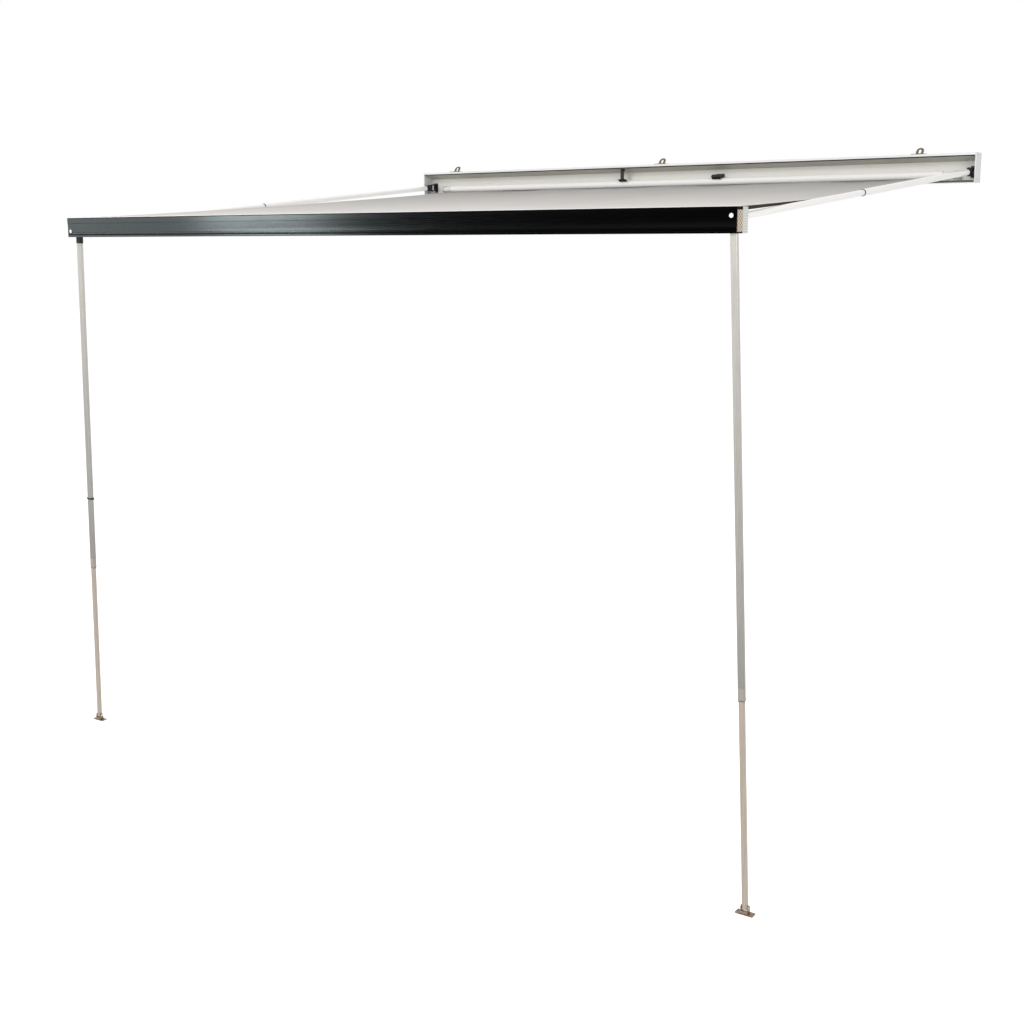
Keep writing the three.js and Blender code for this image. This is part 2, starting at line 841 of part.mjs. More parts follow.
// End caps of the lead bar, each a plate with a tongue inside the bar: the front one sits between
// two lips of the profile, which runs on past it, and the rear one covers the profile's end
function barCap(side, plate, tongueFront, tongueBack, top) {
  const inner = barHalf + seatGap;
  const tongue = rectangle(tongueFront, top - barCapTongue, tongueBack, top);
  return joined(
    alongX(plate, side * inner, side * (inner + barCapThickness)),
    alongX(tongue, side * (barHalf - barCapTongue), side * (inner + barCapThickness / 2)),
  );
}

// Bead sewn into the hem of the canopy, with its neck up through the slot
function canopyBead() {
  const beadY = barDepth - beadSetback;
  const beadZ = barHeight - beadDepth;
  const neckHalf = beadNeck / 2;
  const mouth = Math.acos(neckHalf / beadRadius);
  const section = [
    ...arc(beadY, beadZ, beadRadius, mouth, -Math.PI - mouth),
    [beadY - neckHalf, barHeight],
    [beadY + neckHalf, barHeight],
  ];
  return alongX(section, -canopyHalfAtBar, canopyHalfAtBar);
}

// Canopy: a sheet that tapers from the lead bar to the roller and hangs a little slack
function canopySheet() {
  const start = barFront + barDepth - beadSetback - canopyHem;
  const startTop = barBottom + barHeight + seatGap + canopyThickness;
  const end = rollerY;
  const endTop = rollerZ - rollRadius - seatGap;
  const upper = [];
  for (let i = 0; i <= canopyBays; i++) {
    const share = i / canopyBays;
    const sag = 4 * canopySag * share * (1 - share);
    upper.push([start + (end - start) * share, startTop + (endTop - startTop) * share - sag]);
  }
  const lower = upper.map(([y, z]) => [y, z - canopyThickness]).reverse();
  const sheet = alongX([...upper, ...lower], -canopyHalfAtBar, canopyHalfAtBar);
  const places = sheet.attributes.position;
  for (let i = 0; i < places.count; i++) {
    const share = (places.getY(i) - start) / (end - start);
    const half = canopyHalfAtBar + (rollLength / 2 - canopyHalfAtBar) * share;
    places.setX(i, Math.sign(places.getX(i)) * half);
  }
  return sheet;
}

// Pin of a leg: a disc on the front of the bar, spacers beside the knuckle, a nut behind the web
function legPivotPin(setback) {
  const front = setback - legDepth / 2 - seatGap;
  const back = setback + legDepth / 2 + seatGap;
  const web = barWebPlace - seatGap;
  const nut = barWebPlace + barWall + seatGap;
  const pin = turned([
    [0, seatGap],
    [legPinHeadRadius, seatGap],
    [legPinHeadRadius, legPinHeadHeight],
    [0, legPinHeadHeight],
  ]);
  const shank = turned([
    [0, -nut - legNutHeight],
    [legNutRadius, -nut - legNutHeight],
    [legNutRadius, -nut],
    [legPinRadius, -nut],
    [legPinRadius, -web],
    [legSpacerRadius, -web],
    [legSpacerRadius, -back],
    [legPinRadius, -back],
    [legPinRadius, -front],
    [legSpacerRadius, -front],
    [legSpacerRadius, -barWall - seatGap],
    [legPinRadius, -barWall - seatGap],
    [legPinRadius, legPinHeadHeight / 2],
    [0, legPinHeadHeight / 2],
  ]);
  return joined(pin, shank).rotateX(Math.PI / 2);
}

// A rounded rectangle as wide and deep as a leg tube
function legSection(width, depth, radius) {
  return rectangle(-width / 2, -depth / 2, width / 2, depth / 2, radius);
}

const legBoreWidth = legWidth - 2 * legWall;
const legBoreDepth = legDepth - 2 * legWall;
const legInnerWidth = legBoreWidth - 2 * legSlideGap;
const legInnerDepth = legBoreDepth - 2 * legSlideGap;

function legKnuckle(length) {
  const half = legWidth / 2;
  const head = outline([
    [-half, -length],
    [half, -length],
    [half, half, half - seatGap],
    [-half, half, half - seatGap],
  ]);
  const fit = legSection(legBoreWidth - 2 * seatGap, legBoreDepth - 2 * seatGap, legRadius - legWall);
  const bore = alongY(circle(0, 0, legPinRadius + seatGap), -legDepth, legDepth);
  return cut(
    joined(alongY(head, -legDepth / 2, legDepth / 2), alongZ(fit, -length - legPlug, -length / 2)),
    bore,
  );
}

function legTube(width, depth, radius, wall, start, end) {
  const bore = legSection(width - 2 * wall, depth - 2 * wall, Math.max(radius - wall, wall / 2));
  return alongZ(legSection(width, depth, radius), -start, -end, [bore]);
}

// Collar: a sleeve that carries the outer tube on round the inner one, with a low lip at its end
function legCollar(start) {
  const bore = legSection(legInnerWidth + 2 * seatGap, legInnerDepth + 2 * seatGap, legInnerRadius);
  const sleeve = legSection(legWidth, legDepth, legRadius);
  const lip = legSection(legWidth + 2 * collarLip, legDepth + 2 * collarLip, legRadius + collarLip);
  const end = start + collarLength;
  return joined(
    alongZ(sleeve, -start, -end + collarLipHeight / 2, [bore]),
    alongZ(lip, -end + collarLipHeight, -end, [bore]),
  );
}

// Ring that clips round the outer tube, with an ear on either side
function legRing(place) {
  const width = legWidth + 2 * (seatGap + ringWall);
  const depth = legDepth + 2 * (seatGap + ringWall);
  const hole = legSection(legWidth + 2 * seatGap, legDepth + 2 * seatGap, legRadius);
  const ring = alongZ(legSection(width, depth, legRadius + ringWall), -place, -place - ringLength, [hole]);
  const ears = Object.values(sides).map((side) => {
    const inner = side * (width / 2 - ringWall / 2);
    const outer = side * (width / 2 + ringEar);
    const half = ringEarThickness / 2;
    const ear = rectangle(Math.min(inner, outer), -half, Math.max(inner, outer), half);
    return alongZ(ear, -place, -place - ringLength);
  });
  return joined(ring, ...ears);
}

function legInner(start, end) {
  const low = end + legEndBelowPin;
  const tube = legTube(legInnerWidth, legInnerDepth, legInnerRadius, legInnerWall, start, low);
  const hole = alongX(circle(0, -end, footPinRadius + footHolePlay), -legWidth, legWidth);
  return cut(tube, hole);
}

// Foot: a plate with two cheeks about the end of the leg and a web in front of it
function footPlate() {
  const plateTop = -footPinHeight + footThickness;
  const cheekInner = legInnerWidth / 2 + cheekClearance;
  const cheekOuter = cheekInner + cheekThickness;
  const plate = alongZ(
    rectangle(-footWidth / 2, -footDepth / 2, footWidth / 2, footDepth / 2, footRadius),
    -footPinHeight,
    plateTop,
  );
  const cheek = outline([
    [-cheekDepth / 2, plateTop - footThickness / 2],
    [cheekDepth / 2, plateTop - footThickness / 2],
    [cheekDepth / 2, 0],
    [cheekDepth / 2, cheekRadius, cheekRadius - seatGap],
    [-cheekDepth / 2, cheekRadius, cheekRadius - seatGap],
    [-cheekDepth / 2, 0],
  ]);
  const hole = circle(0, 0, footPinRadius + seatGap);
  const webBack = -legInnerDepth / 2 - footWebSetback;
  const web = rectangle(-cheekOuter, webBack - footWebThickness, cheekOuter, webBack);
  return joined(
    plate,
    alongX(cheek, cheekInner, cheekOuter, [hole]),
    alongX(cheek, -cheekOuter, -cheekInner, [hole]),
    alongZ(web, plateTop - footThickness / 2, plateTop + footWebHeight),
  );
}

function footPin(side) {
  const inner = legInnerWidth / 2 + cheekClearance + cheekThickness + seatGap;
  const outer = inner + footPinHeadHeight;
  const pin = turned([
    [0, -inner],
    [footPinRadius, -inner],
    [footPinRadius, inner],
    [footPinHead, inner],
    [footPinHead, outer],
    [0, outer],
  ]);
  return pin.rotateY(-side * Math.PI / 2);
}

// The assembly
const object = new THREE.Group();
const awning = new THREE.Group();
awning.position.x = -bracketPlaces.middle;
object.add(awning);

piece(awning, 'case_profile', caseProfile(), finishes.whitePaint);
piece(awning, 'roller_axle', rollerAxle().translate(0, rollerY, rollerZ), finishes.zincSteel);
piece(awning, 'rafter_clip_long', longClip(), finishes.blackPlastic);
piece(awning, 'rafter_clip_short', shortClip(), finishes.blackPlastic);

for (const [name, place] of Object.entries(bracketPlaces)) {
  const bracket = piece(awning, `wall_bracket_${name}`, wallBracket(), finishes.bronzeSteel);
  bracket.position.x = place;
  const bolt = piece(awning, `wall_bolt_${name}`, wallBolt(), finishes.zincSteel);
  bolt.position.x = place;
}

const roller = new THREE.Group();
roller.position.set(0, rollerY, rollerZ);
awning.add(roller);
const rollerBore = circle(0, 0, rollerRadius - rollerWall);
const rollerTube = alongX(circle(0, 0, rollerRadius), -rollerLength / 2, rollerLength / 2, [rollerBore]);
piece(roller, 'roller_tube', rollerTube, finishes.greyAluminium);
piece(roller, 'fabric_roll', fabricRoll(), finishes.canopyFabric);

const leadBar = new THREE.Group();
leadBar.position.set(0, barFront, barBottom);
awning.add(leadBar);
piece(leadBar, 'lead_bar_profile', leadBarProfile(), finishes.blackAluminium);
piece(leadBar, 'canopy_bead', canopyBead(), finishes.canopyFabric);
piece(awning, 'canopy', canopySheet(), finishes.canopyFabric);

for (const [name, side] of Object.entries(sides)) {
  piece(awning, `case_end_cap_${name}`, caseEndCap(side), finishes.whitePlastic);
  piece(roller, `roller_plug_${name}`, rollerPlug(side), finishes.blackPlastic);
  const bearing = piece(awning, `roller_bearing_${name}`, rollerBearing(side), finishes.blackPlastic);
  bearing.position.set(0, rollerY, rollerZ);

  const latchX = side * (awningLength / 2 - catchInset);
  const seat = piece(awning, `closing_catch_base_${name}`, latchSeat(), finishes.greyPlastic);
  seat.position.x = latchX;
  const lever = piece(awning, `closing_catch_lever_${name}`, latchLever(), finishes.greyPlastic);
  lever.position.set(latchX, caseFront + latchPivotSetback, caseBottom + latchPivotHeight);

  const rafter = new THREE.Group();
  rafter.position.set(side * hingeX, hingeY, hingeZ);
  rafter.rotation.x = rafterSlope;
  rafter.updateMatrix();
  awning.add(rafter);
  const tube = rafterTube(rafterRadius, rafterWall, rafterOuterStart, rafterOuterEnd);
  const innerStart = rafterOuterEnd - rafterOverlap;
  const innerTube = rafterTube(rafterInnerRadius, rafterInnerWall, innerStart, rafterInnerEnd);
  piece(awning, `rafter_bracket_${name}`, rafterBracket(rafter), finishes.blackPlastic);
  piece(rafter, `rafter_pin_${name}`, hingePin(), finishes.zincSteel);
  piece(rafter, `rafter_knuckle_${name}`, rafterKnuckle(), finishes.blackPlastic);
  piece(rafter, `rafter_outer_${name}`, tube, finishes.whiteAluminium);
  piece(rafter, `rafter_bush_${name}`, rafterBush(), finishes.blackPlastic);
  piece(rafter, `rafter_inner_${name}`, innerTube, finishes.whiteAluminium);
  piece(rafter, `rafter_tip_${name}`, rafterTip(), finishes.blackPlastic);
  piece(awning, `rafter_catch_${name}`, rafterCatch(side, rafter), finishes.blackPlastic);

  const frontTongue = barWall + barInnerRadius + seatGap;
  const rearTongue = barWebPlace - barInnerRadius - seatGap;
  const frontTop = barHeight - barTopLip - seatGap;
  const rearTop = barHeight - barWall - seatGap;
  const frontPlate = rectangle(barWall + seatGap, barBottomLip + seatGap, barCapSplit - seatGap, frontTop);
  const rearPlate = rectangle(barCapSplit, 0, barDepth, barHeight, barCapRadius);
  const frontCap = barCap(side, frontPlate, frontTongue, barCapSplit / 2, frontTop);
  const rearCap = barCap(side, rearPlate, barCapSplit + barWall, rearTongue, rearTop);
  piece(leadBar, `bar_front_cap_${name}`, frontCap, finishes.tanPlastic);
  piece(leadBar, `bar_rear_cap_${name}`, rearCap, finishes.ribbedPlastic);

  const setback = legSetbacks[name];
  const pivotHeight = legPivotHeights[name];
  const knuckleLength = legKnuckleLengths[name];
  const legX = side * (barHalf - legInset);
  const pivotPin = piece(leadBar, `leg_pivot_pin_${name}`, legPivotPin(setback), finishes.whitePlastic);
  pivotPin.position.set(legX, 0, pivotHeight);

  const drop = standingHeight + pivotHeight - footPinHeight;
  const splay = Math.atan2(legSplay, drop);
  const length = Math.hypot(legSplay, drop);
  const outerEnd = pivotHeight + legOuterBelowBar;
  const leg = new THREE.Group();
  leg.position.set(legX, setback, pivotHeight);
  leg.rotation.y = -side * splay;
  leadBar.add(leg);
  const outer = legTube(legWidth, legDepth, legRadius, legWall, knuckleLength + seatGap, outerEnd);
  piece(leg, `leg_knuckle_${name}`, legKnuckle(knuckleLength), finishes.blackPlastic);
  piece(leg, `leg_outer_${name}`, outer, finishes.greyAluminium);
  piece(leg, `leg_collar_${name}`, legCollar(outerEnd + seatGap), finishes.greyPlastic);
  piece(leg, `leg_inner_${name}`, legInner(outerEnd - legOverlap, length), finishes.greyAluminium);
  if (name === 'left') {
    piece(leg, 'leg_ring_left', legRing(pivotHeight + ringBelowBar), finishes.blackPlastic);
  }

  const foot = new THREE.Group();
  foot.position.z = -length;
  foot.rotation.y = side * splay;
  leg.add(foot);
  piece(foot, `foot_plate_${name}`, footPlate(), finishes.brownSteel);
  piece(foot, `foot_pin_${name}`, footPin(side), finishes.zincSteel);
}

export default object;
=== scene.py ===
import json
import math

import bmesh
import bpy
import numpy as np
from mathutils import Matrix, Vector


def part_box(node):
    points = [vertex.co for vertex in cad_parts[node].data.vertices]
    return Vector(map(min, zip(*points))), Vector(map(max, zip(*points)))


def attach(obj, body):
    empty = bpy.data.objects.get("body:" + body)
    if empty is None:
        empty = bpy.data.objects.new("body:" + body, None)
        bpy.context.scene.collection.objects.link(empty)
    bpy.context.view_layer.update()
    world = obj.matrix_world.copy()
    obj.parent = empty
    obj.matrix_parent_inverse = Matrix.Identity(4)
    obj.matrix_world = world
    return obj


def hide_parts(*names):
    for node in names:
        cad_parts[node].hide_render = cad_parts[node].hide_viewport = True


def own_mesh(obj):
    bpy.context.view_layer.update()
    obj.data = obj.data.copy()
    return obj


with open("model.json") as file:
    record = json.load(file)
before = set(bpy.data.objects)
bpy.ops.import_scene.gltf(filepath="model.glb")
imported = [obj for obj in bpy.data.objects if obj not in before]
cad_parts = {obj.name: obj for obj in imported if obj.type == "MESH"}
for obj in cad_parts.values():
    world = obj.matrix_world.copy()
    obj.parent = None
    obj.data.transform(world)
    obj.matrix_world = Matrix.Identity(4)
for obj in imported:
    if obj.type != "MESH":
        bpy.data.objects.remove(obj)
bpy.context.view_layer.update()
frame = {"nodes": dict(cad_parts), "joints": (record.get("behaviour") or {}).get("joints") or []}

# Camera
# The photograph looks at the front right corner of the awning, from about the height of the lead
# bar. Its place and lens were fitted to the corners of the case, the bar and the feet.

heading, tilt, lean = 34.362, -11.825, -0.458
camera = bpy.data.objects.new("camera", bpy.data.cameras.new("camera"))
camera.data.lens = 47.365
camera.data.sensor_width = 36.0
camera.data.clip_end = 200.0
camera.location = (3.2648, -6.1343, -0.2479)
camera.rotation_euler = (
    Matrix.Rotation(math.radians(heading), 3, "Z")
    @ Matrix.Rotation(math.radians(90.0 + tilt), 3, "X")
    @ Matrix.Rotation(math.radians(lean), 3, "Z")
).to_euler()
bpy.context.scene.collection.objects.link(camera)
bpy.context.scene.camera = camera
bpy.context.scene.view_settings.view_transform = "Standard"


# Room
# A pale studio floor that the feet stand on, an even white surround, and soft boxes.
# The camera and mirror-like surfaces see white, and everything else is lit at a plain level.


def linear(hex_colour):
    """Linear RGBA of an sRGB hex colour: v / 12.92 below 0.04045, else ((v + 0.055) / 1.055) ** 2.4."""
    srgb = np.array([int(hex_colour[i:i + 2], 16) for i in (0, 2, 4)]) / 255.0
    value = np.where(srgb <= 0.04045, srgb / 12.92, ((srgb + 0.055) / 1.055) ** 2.4)
    return (*value.tolist(), 1.0)


def add_node(tree, kind, settings=None, inputs=None):
    """Adds one node, sets its properties, and sets or links its inputs by name or by number."""
    node = tree.nodes.new(kind)
    for name, value in (settings or {}).items():
        setattr(node, name, value)
    for name, value in (inputs or {}).items():
        if isinstance(value, bpy.types.NodeSocket):
            tree.links.new(value, node.inputs[name])
        else:
            node.inputs[name].default_value = value
    return node


def seen_directly(tree):
    """1 for a ray from the camera, a mirroring surface or a clear one, and 0 for every other ray."""
    rays = add_node(tree, "ShaderNodeLightPath").outputs
    seen = rays["Is Camera Ray"]
    for ray in ("Is Glossy Ray", "Is Transmission Ray"):
        seen = add_node(tree, "ShaderNodeMath", {"operation": "MAXIMUM"}, {0: seen, 1: rays[ray]}).outputs[0]
    return seen


white = linear("ffffff")
ambient_strength = 0.66
world = bpy.data.worlds.new("white_surround")
bpy.context.scene.world = world
world.use_nodes = True
tree = world.node_tree
tree.nodes.clear()
ambient = add_node(tree, "ShaderNodeBackground", None,
                   {"Color": linear("f7f8fa"), "Strength": ambient_strength})
backdrop = add_node(tree, "ShaderNodeBackground", None, {"Color": white, "Strength": 1.0})
both = add_node(tree, "ShaderNodeMixShader", None,
                {0: seen_directly(tree), 1: ambient.outputs[0], 2: backdrop.outputs[0]})
add_node(tree, "ShaderNodeOutputWorld", None, {"Surface": both.outputs[0]})

# The floor is a matt grey-white paint that takes the shadow, lifted to white where it is seen.
floor_half, floor_gap, floor_lift = 30.0, 0.0005, 0.62
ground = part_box("foot_plate_right")[0][2]
floor_mesh = bpy.data.meshes.new("studio_floor")
floor_corners = floor_half * np.array([[-1, -1, 0], [1, -1, 0], [1, 1, 0], [-1, 1, 0]])
floor_mesh.from_pydata((floor_corners + [0, 0, ground - floor_gap]).tolist(), [], [(0, 1, 2, 3)])
floor = bpy.data.objects.new("studio_floor", floor_mesh)
bpy.context.scene.collection.objects.link(floor)
floor_paint = bpy.data.materials.new("matt_white_floor_paint")
floor_paint.use_nodes = True
tree = floor_paint.node_tree
tree.nodes.clear()
matt = add_node(tree, "ShaderNodeBsdfDiffuse", None, {"Color": linear("e4e4e4")})
lift = add_node(tree, "ShaderNodeMath", {"operation": "MULTIPLY"}, {0: seen_directly(tree), 1: floor_lift})
glow = add_node(tree, "ShaderNodeEmission", None, {"Color": white, "Strength": lift.outputs[0]})
shade = add_node(tree, "ShaderNodeAddShader", None, {0: matt.outputs[0], 1: glow.outputs[0]})
add_node(tree, "ShaderNodeOutputMaterial", None, {"Surface": shade.outputs[0]})
floor_mesh.materials.append(floor_paint)

# Each box has a place, a point that it faces, a width and height, a power, and whether gloss shows it.
soft_boxes = [
    ("soft_box_over_front", (-1.6, -6.0, 2.4), (0.0, -1.8, -0.4), (3.2, 3.2), 155.0, True),
    ("soft_box_right", (5.6, -4.2, 1.4), (0.6, -1.4, -0.4), (2.6, 2.6), 90.0, True),
    ("soft_box_back", (-1.2, 3.2, 2.8), (0.0, -0.8, -0.1), (3.0, 3.0), 70.0, False),
    ("sheen_box_for_bar_end", (-2.7, -4.0, -0.05), (-0.9, -2.5, -0.25), (2.0, 0.9), 230.0, True),
    ("sheen_box_for_bar", (-1.16, -3.3, -0.05), (-0.35, -2.5, -0.25), (0.5, 0.4), 112.0, True),
]
sheen_colour = (0.86, 0.98, 1.0)
flagged_to_bar = bpy.data.collections.new("lit_by_soft_boxes_for_bar")
for name, place, aim, size, power, shiny in soft_boxes:
    lamp = bpy.data.lights.new(name, "AREA")
    lamp.shape = "RECTANGLE"
    lamp.size, lamp.size_y = size
    lamp.energy = power
    box = bpy.data.objects.new(name, lamp)
    box.location = place
    box.rotation_euler = (Vector(aim) - Vector(place)).to_track_quat("-Z", "Y").to_euler()
    box.visible_camera = False
    box.visible_glossy = shiny
    bpy.context.scene.collection.objects.link(box)
    # Two boxes only draw the sheen of the lead bar, and are flagged off from everything else.
    if "for_bar" in name:
        lamp.color = sheen_colour
        box.visible_diffuse = False
        box.light_linking.receiver_collection = flagged_to_bar


# Wall brackets
# Three bent straps of 4 mm steel, zinc plated and passivated to a bronze tint, hug the case and
# carry it on the wall. Each has an arched ear above, and a countersunk bolt behind the case.


def finish(name, colour, roughness, metallic=0.0, specular=0.5, coat=0.0):
    """A material whose shader holds its own constants. What varies over the surface is linked later."""
    material = bpy.data.materials.new(name)
    material.use_nodes = True
    shader = material.node_tree.nodes["Principled BSDF"]
    shader.inputs["Base Color"].default_value = linear(colour)
    shader.inputs["Roughness"].default_value = roughness
    shader.inputs["Metallic"].default_value = metallic
    shader.inputs["Specular IOR Level"].default_value = specular
    shader.inputs["Coat Weight"].default_value = coat
    shader.inputs["Coat Roughness"].default_value = 0.1
    return material


def vary(material, stretch, grain, colours, roughness, bump):
    """Object-space noise of one grain size in metres, drawn out by stretch, tints the colour between
    two tones, moves the roughness between two values, and lifts the surface by bump metres. The tones
    and the roughness run from a noise of 0.25 to one of 0.75, and stay at their ends beyond that."""
    tree = material.node_tree
    shader = tree.nodes["Principled BSDF"]
    where = add_node(tree, "ShaderNodeTexCoord").outputs["Object"]
    drawn = add_node(tree, "ShaderNodeMapping", {"vector_type": "POINT"},
                     {"Vector": where, "Scale": tuple(1.0 / s for s in stretch)})
    noise = add_node(tree, "ShaderNodeTexNoise", None,
                     {"Vector": drawn.outputs[0], "Scale": 1.0 / grain, "Detail": 4.0})
    spread = add_node(tree, "ShaderNodeMapRange", {"clamp": True},
                      {0: noise.outputs["Fac"], 1: 0.25, 2: 0.75})
    tone = add_node(tree, "ShaderNodeMix", {"data_type": "RGBA"},
                    {0: spread.outputs[0], 6: linear(colours[0]), 7: linear(colours[1])})
    tree.links.new(tone.outputs[2], shader.inputs["Base Color"])
    dull = add_node(tree, "ShaderNodeMapRange", None,
                    {0: spread.outputs[0], 3: roughness[0], 4: roughness[1]})
    tree.links.new(dull.outputs[0], shader.inputs["Roughness"])
    raised = add_node(tree, "ShaderNodeBump", None,
                      {"Height": noise.outputs["Fac"], "Distance": bump, "Strength": 1.0})
    tree.links.new(raised.outputs[0], shader.inputs["Normal"])
    return material


def fitted(name, mesh, body, material, sharp):
    """A mesh as a piece on a body, in one material, shaded smooth up to an angle of sharp degrees."""
    mesh.materials.append(material)
    mesh.polygons.foreach_set("use_smooth", np.ones(len(mesh.polygons), dtype=bool))
    mesh.set_sharp_from_angle(angle=math.radians(sharp))
    made = bpy.data.objects.new(name, mesh)
    bpy.context.scene.collection.objects.link(made)
    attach(made, body)
    return made


def broken_edges(node, body, material, width=0.0004, steps=2):
    """A CAD node's own form in place of the node, its corners welded, its flat faces made whole and
    its edges rounded off by width, as a deburred or moulded piece has them."""
    weld, flat, sharp = 2e-6, 0.6, 32.0
    mesh = frame["nodes"][node].data.copy()
    mesh.materials.clear()
    shell = bmesh.new()
    shell.from_mesh(mesh)
    bmesh.ops.remove_doubles(shell, verts=shell.verts, dist=weld)
    bmesh.ops.dissolve_limit(shell, angle_limit=math.radians(flat), verts=shell.verts, edges=shell.edges)
    shell.to_mesh(mesh)
    shell.free()
    mesh.polygons.foreach_set("material_index", np.zeros(len(mesh.polygons), dtype=np.int32))
    made = fitted(node + "_form", mesh, body, material, sharp)
    rounding = made.modifiers.new("rounded_edges", "BEVEL")
    rounding.width = width
    rounding.segments = steps
    rounding.limit_method = "ANGLE"
    rounding.angle_limit = math.radians(sharp)
    rounding.harden_normals = True
    rounding.use_clamp_overlap = True
    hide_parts(node)
    return made


# Passivated steel is mottled from pale to brown, and dull where the plating is thick.
bronze_steel = finish("bronze_passivated_steel", "6e6250", 0.42, metallic=0.85)
vary(bronze_steel, (1, 1, 1), 0.004, ("4f4638", "8d8068"), (0.34, 0.5), 0.00005)
# Bright zinc plate is pale blue grey, with fine crystals that break up its reflections.
zinc_steel = finish("zinc_plated_steel", "c3c6c9", 0.3, metallic=1.0)
vary(zinc_steel, (1, 1, 1), 0.0015, ("aeb2b6", "d2d4d6"), (0.24, 0.38), 0.00002)

for place in ("left", "middle", "right"):
    broken_edges("wall_bracket_" + place, "case", bronze_steel, 0.0006)
    broken_edges("wall_bolt_" + place, "case", zinc_steel, 0.0004)


# Case
# One aluminium extrusion as long as the awning, powder coated white outside. Its front is open,
# and a slanted web behind the top lip stiffens it. The fabric and the folded rafters live in it.


def surface(name, points, body, material, across=False, along=False, uv=None, closed=True, smooth=40.0):
    """A mesh over a grid of points, rows by columns: each cell is one face of four corners, and a
    closed direction joins its last line to its first. Doubled points at poles are merged."""
    rows, columns = points.shape[:2]
    index = np.arange(rows * columns).reshape(rows, columns)
    if across:
        index = np.hstack([index, index[:, :1]])
    if along:
        index = np.vstack([index, index[:1]])
    cells = np.stack([index[:-1, :-1], index[:-1, 1:], index[1:, 1:], index[1:, :-1]], axis=-1)
    mesh = bpy.data.meshes.new(name)
    mesh.from_pydata(points.reshape(-1, 3).tolist(), [], cells.reshape(-1, 4).tolist())
    if uv is not None:
        layer = mesh.uv_layers.new(name="flat")
        corners = np.empty(len(mesh.loops), dtype=np.int32)
        mesh.loops.foreach_get("vertex_index", corners)
        layer.data.foreach_set("uv", uv.reshape(-1, 2)[corners].astype(np.float32).ravel())
    if closed:
        shell = bmesh.new()
        shell.from_mesh(mesh)
        bmesh.ops.remove_doubles(shell, verts=shell.verts, dist=1e-7)
        bmesh.ops.holes_fill(shell, edges=shell.edges, sides=0)
        bmesh.ops.recalc_face_normals(shell, faces=shell.faces)
        shell.to_mesh(mesh)
        shell.free()
    return fitted(name, mesh, body, material, smooth)


def rounded_rectangle(width, depth, radius, steps=8):
    """A rounded rectangle as points and normals: four corner centres plus radius times the normal."""
    angle = np.concatenate([np.linspace(0, np.pi / 2, steps) + quarter * np.pi / 2 for quarter in range(4)])
    normals = np.stack([np.cos(angle), np.sin(angle)], axis=-1)
    signs = np.repeat([[1, 1], [-1, 1], [-1, -1], [1, -1]], steps, axis=0)
    return signs * (np.array([width, depth]) / 2 - radius) + radius * normals, normals


def along_axis(section, stations, origin, axis, right):
    """A section carried along an axis: point = origin + axis * distance + section - normal * inset,
    for each (distance, inset) station. Stations that run out, over the end and back make a wall."""
    axis = np.array(axis) / np.linalg.norm(axis)
    right = np.array(right) - axis * np.dot(axis, right)
    right = right / np.linalg.norm(right)
    up = np.cross(axis, right)
    points, normals = section
    stations = np.array(stations)
    flat = points[None] - normals[None] * stations[:, 1, None, None]
    return np.array(origin) + axis * stations[:, 0, None, None] + flat[..., :1] * right + flat[..., 1:] * up


def pan_screws(name, places, out, body, radius=0.0034):
    """Cross-head screws on a face, one at each place. The dome is height * (1 - 0.8 * (r / radius) ** 3),
    and a cross is sunk into it where one of |x| and |y| is under 0.13 radius and the other under 0.6."""
    rings, spokes = 17, 48
    height = 0.55 * radius
    share = np.linspace(0.0, 1.0, rings)[:, None]
    angle = np.linspace(0, 2 * np.pi, spokes, endpoint=False)[None, :]
    flat_x = radius * share * np.cos(angle)
    flat_y = radius * share * np.sin(angle)
    narrow = np.minimum(abs(flat_x), abs(flat_y)) < 0.13 * radius
    near = np.maximum(abs(flat_x), abs(flat_y)) < 0.6 * radius
    dome = height * (1 - 0.8 * share ** 3) - 0.55 * height * (narrow & near)
    top = np.stack([flat_x, flat_y, dome], axis=-1)
    foot = np.stack([flat_x[-1], flat_y[-1], np.zeros(spokes)], axis=-1)[None]
    middle = np.zeros((1, spokes, 3))
    turn = np.array(Vector(out).to_track_quat("Z", "Y").to_matrix())
    head = np.concatenate([top, foot, middle]) @ turn.T
    for number, place in enumerate(places):
        surface(f"{name}_{number}", head + np.array(place), body, zinc_steel,
                across=True, smooth=35.0)


# Powder coat has an orange-peel skin of about 3 mm and a soft gloss. Inside the case the colour is painted
# shade: a pale grey on the back wall, and a darker grey on the underside of the web.
powder_coat = finish("powder_coated_aluminium", "f0f0ee", 0.36, coat=0.1)
vary(powder_coat, (1, 1, 1), 0.003, ("ebebe9", "f3f3f1"), (0.32, 0.42), 0.00004)
# The web's underside runs from 94 mm above the bottom, at the back, to 10 mm below the top, in front.
case_low, case_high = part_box("case_profile")
case_wall = 0.002
web_back = case_low[2] + 0.094
web_front = case_high[2] - 0.010
web_slope = (web_front - web_back) / (case_high[1] - case_low[1] - 2 * case_wall)


